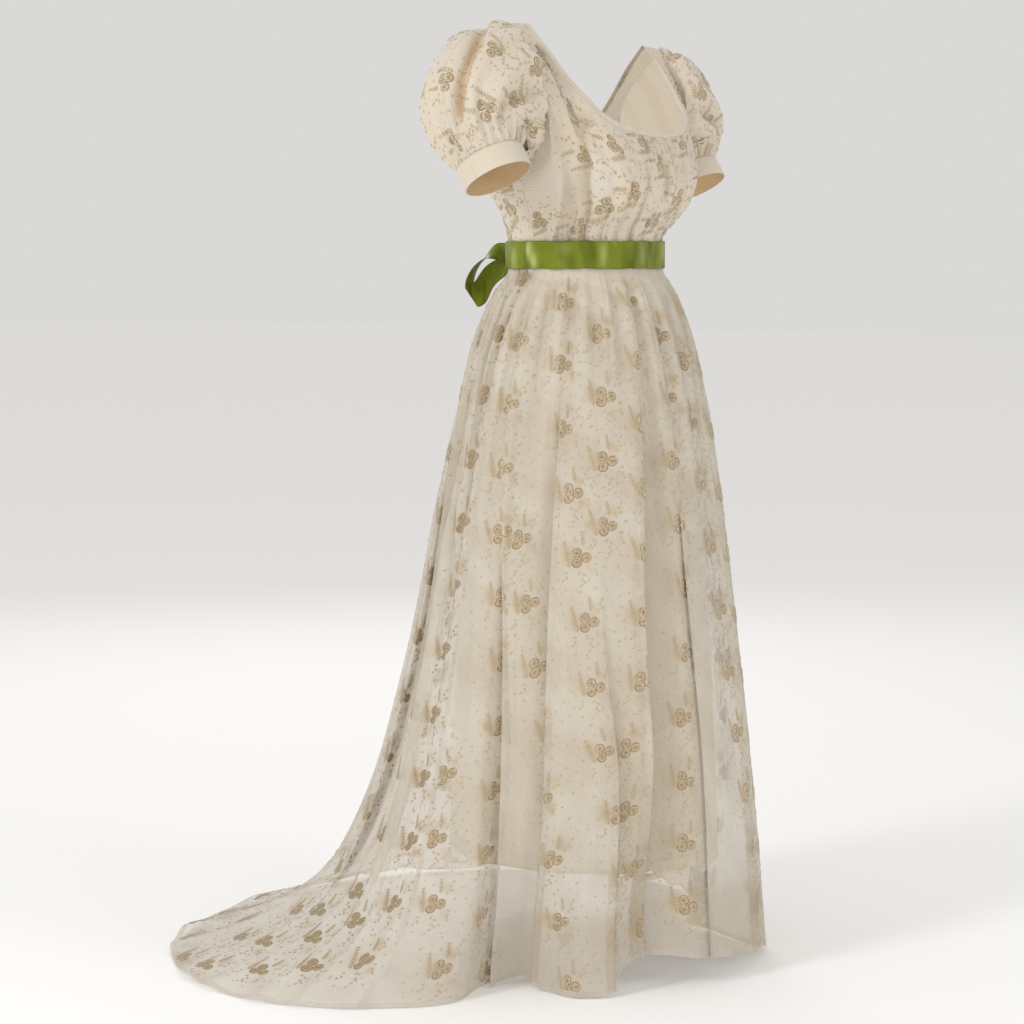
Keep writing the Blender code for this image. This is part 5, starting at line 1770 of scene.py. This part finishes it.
def make_bow(looks):
    made = []
    count, across_count = LOOP_GRID
    line = evenly(BOW_LOOP, count)
    least, gain = LOOP_WIDTHS
    spread = np.clip(np.sin(np.linspace(0, math.pi, count)), 0, 1)
    half_width = SASH_WIDTH / 2 * (least + gain * np.sqrt(spread))
    across = unit(line[:, 3:])
    ahead = unit(np.gradient(line[:, :3], axis=0))
    outward = np.cross(ahead, across)
    rows = []
    for side in np.linspace(1, -1, across_count):
        curl = 0.0016 * (1 - side * side) + 0.0005 * math.cos(side * 9) * (1 - spread)
        rows.append(line[:, :3] + across * (half_width * side)[:, None] + outward * curl[:, None])
    right = np.stack(rows)
    made.append(ribbon("bow_loop_right_ribbon", placed(right), looks, "bow_loop_right"))
    made.append(ribbon("bow_loop_left_ribbon", placed(right * (-1, 1, 1)), looks, "bow_loop_left", -1))
    count, across_count = TAIL_GRID
    for name, tail in BOW_TAILS.items():
        line = evenly(tail, count)
        sides = np.linspace(-0.5, 0.5, across_count)
        back = on_skirt_back(line[:, 0], line[:, 1], 0.020)
        rows = []
        for side in sides:
            fold = 0.0012 * np.cos(side * 11 + np.linspace(0, 3, count)) * ease((line[:, 1] - 0.64) / 0.3)
            rows.append(np.stack([line[:, 0] + line[:, 2] * side, back[:, 1] + fold, line[:, 1]], axis=-1))
        made.append(ribbon(f"{name}_ribbon", placed(np.stack(rows)), looks, name))
    return made


def on_skirt_back(x, heights, reach=0.012):
    """Points just behind the back of the skirt, at these widths and heights."""
    angle, share = np.meshgrid(np.linspace(140, 220, 161), np.linspace(0, 0.7, 141))
    skirt = raised(skirt_base, skirt_folds, angle, share).reshape(-1, 3)
    made = []
    for one_x, height in zip(x, heights):
        near = (np.abs(skirt[:, 0] - one_x) < reach) & (np.abs(skirt[:, 2] - height) < reach)
        y = np.max(skirt[near, 1], initial=TAIL_INNERMOST)
        made.append((one_x, y + TAIL_CLEARANCE, height))
    made = np.array(made)
    made[:, 1] = np.convolve(np.pad(made[:, 1], 6, mode="edge"), np.ones(13) / 13, mode="valid")
    return made


def make_knot(looks):
    """The rounded knot, drawn in at both ends and folded down its length."""
    columns, rows = KNOT_GRID
    up = np.linspace(-0.5, 0.5, rows)[:, None]
    turn = np.linspace(0, 2 * math.pi, columns, endpoint=False)[None]
    bulge = np.sqrt(np.maximum(1 - KNOT_TAPER * up**4, KNOT_END_WIDTH**2))
    bulge = bulge * (1 - 0.04 * np.abs(np.sin(turn * 4 + up * 3)))
    aside = np.sign(np.cos(turn)) * np.abs(np.cos(turn)) ** KNOT_ROUNDING * bulge / 2
    back = np.sign(np.sin(turn)) * np.abs(np.sin(turn)) ** KNOT_ROUNDING * bulge / 2
    ways = [middle + size * way for middle, size, way in zip(KNOT_CENTRE, KNOT_SIZE, (aside, back, up))]
    points = np.stack(np.broadcast_arrays(*ways), axis=-1)
    points[..., 2] -= ORIGIN_HEIGHT
    faces = grid_faces(rows, columns, True, False)
    faces.append(tuple(range(columns)))
    faces.append(tuple((rows - 1) * columns + c for c in range(columns))[::-1])
    uv = np.stack([lengths(points, 1), lengths(points, 0)], axis=-1).reshape(-1, 2)
    finish = [looks["satin"]]
    points = points.reshape(-1, 3)
    return new_object("bow_knot_ribbon", points, faces, uv, finish, None, ("bow_knot",))


def make_stage():
    floor_mesh = bpy.data.meshes.new("floor")
    corners = [(x * FLOOR_REACH, y * FLOOR_REACH, FLOOR_Z) for x, y in ((-1, -1), (1, -1), (1, 1), (-1, 1))]
    floor_mesh.from_pydata(corners, [], [(0, 1, 2, 3)])
    floor = bpy.data.objects.new("floor", floor_mesh)
    made, _, bsdf = nodes_of("pale_floor")
    bsdf.inputs["Base Color"].default_value = (*FLOOR_COLOUR, 1)
    bsdf.inputs["Roughness"].default_value = 0.9
    bsdf.inputs["Specular IOR Level"].default_value = 0.0
    bsdf.inputs["Emission Color"].default_value = (*STUDIO_WHITE, 1)
    bsdf.inputs["Emission Strength"].default_value = FLOOR_GLOW
    floor_mesh.materials.append(made)
    bpy.context.scene.collection.objects.link(floor)
    world = bpy.data.worlds.new("studio")
    world.use_nodes = True
    world.node_tree.nodes["Background"].inputs["Color"].default_value = (*STUDIO_WHITE, 1)
    world.node_tree.nodes["Background"].inputs["Strength"].default_value = SKY_STRENGTH
    bpy.context.scene.world = world
    for name, place, aim, size, power in LAMPS:
        light = bpy.data.lights.new(name, "AREA")
        light.shape, light.size, light.energy = "DISK", size, power
        lamp = bpy.data.objects.new(name, light)
        lamp.location = place
        away = np.array(place) - np.array(aim)
        lamp.rotation_euler = aimed(away)
        bpy.context.scene.collection.objects.link(lamp)


def aimed(away):
    """Rotation of a lamp or camera that looks the other way from this direction."""
    flat = math.hypot(away[0], away[1])
    return (math.atan2(flat, away[2]), 0.0, math.atan2(away[0], -away[1]))


def make_camera():
    camera = bpy.data.objects.new("camera", bpy.data.cameras.new("camera"))
    camera.data.lens = CAMERA_LENS
    camera.data.sensor_width = 36
    camera.location = CAMERA_PLACE
    camera.rotation_euler = aimed(np.array(CAMERA_PLACE) - np.array(CAMERA_AIM))
    bpy.context.scene.collection.objects.link(camera)
    bpy.context.scene.camera = camera


# Colour, second colour, roughness, sheen, threads to a metre, crumple.
INSIDE_CLOTH = (INSIDE_CREAM_PAINTED_LIGHT, INSIDE_CREAM_PAINTED_LIGHT, 0.9, 0.10, 1000, 0.20)
looks = {
    "sheer": sheer_finish("organza", 0.41),
    "sheer_hem": sheer_finish("organza_hem", 0.55),
    "lining": opaque_finish("lining_cotton", CREAM_LINING, CREAM_LINING_WARM, 0.9, 0.15, 1100, 0.20),
    "bodice": opaque_finish("bodice_cloth", CREAM, CREAM_WARM, 0.75, 0.30, 1200, 0.45),
    # Painted shade in the sleeve's creases.
    "sleeve": opaque_finish("sleeve_cloth", CREAM, CREAM_WARM, 0.75, 0.30, 1200, 0.45, CREASE_SHADE_TAN, 0.9),
    "plain": opaque_finish("band_cloth", CREAM, CREAM_WARM, 0.75, 0.30, 1200, 0.30),
    # Painted shade: the inner side of the cuffs in a darker tan.
    "inside": opaque_finish("inner_cuff_cloth", INSIDE_SHADE_TAN, INSIDE_SHADE_TAN, 0.9, 0.10, 1000, 0.20),
    # Painted light: the inner cloth of the sleeves and bodice glows.
    "inside_sleeve": opaque_finish("inner_sleeve_cloth", *INSIDE_CLOTH, glow=0.24),
    "inside_body": opaque_finish("inner_cloth", *INSIDE_CLOTH, glow=0.16),
    "threads": [
        thread_finish("gold_thread", GOLD_LIGHT, GOLD),
        thread_finish("tan_thread", TAN, TAN),
        thread_finish("leaf_thread", LEAF, GOLD),
    ],
    # Shaded copies of the thread colours: painted shade on the back's threads.
    "train_shaded_threads": [
        thread_finish("train_shaded_gold_thread", TRAIN_SHADED_GOLD_LIGHT, TRAIN_SHADED_GOLD),
        thread_finish("train_shaded_tan_thread", TRAIN_SHADED_TAN, TRAIN_SHADED_TAN),
        thread_finish("train_shaded_leaf_thread", TRAIN_SHADED_LEAF, TRAIN_SHADED_GOLD),
    ],
    "satin": satin_finish("green_satin"),
}
make_stage()
make_camera()
overskirt_parts = make_overskirt(looks)
lining_parts = make_lining(looks)
bodice_parts = make_bodice(looks)
binding = make_binding(looks)
sleeve_parts = make_sleeves(looks)
cuff_parts = make_cuffs(looks)
sash = make_sash(looks)
bow_parts = make_bow(looks)
make_knot(looks)

bpy.context.scene.view_settings.view_transform = "Standard"
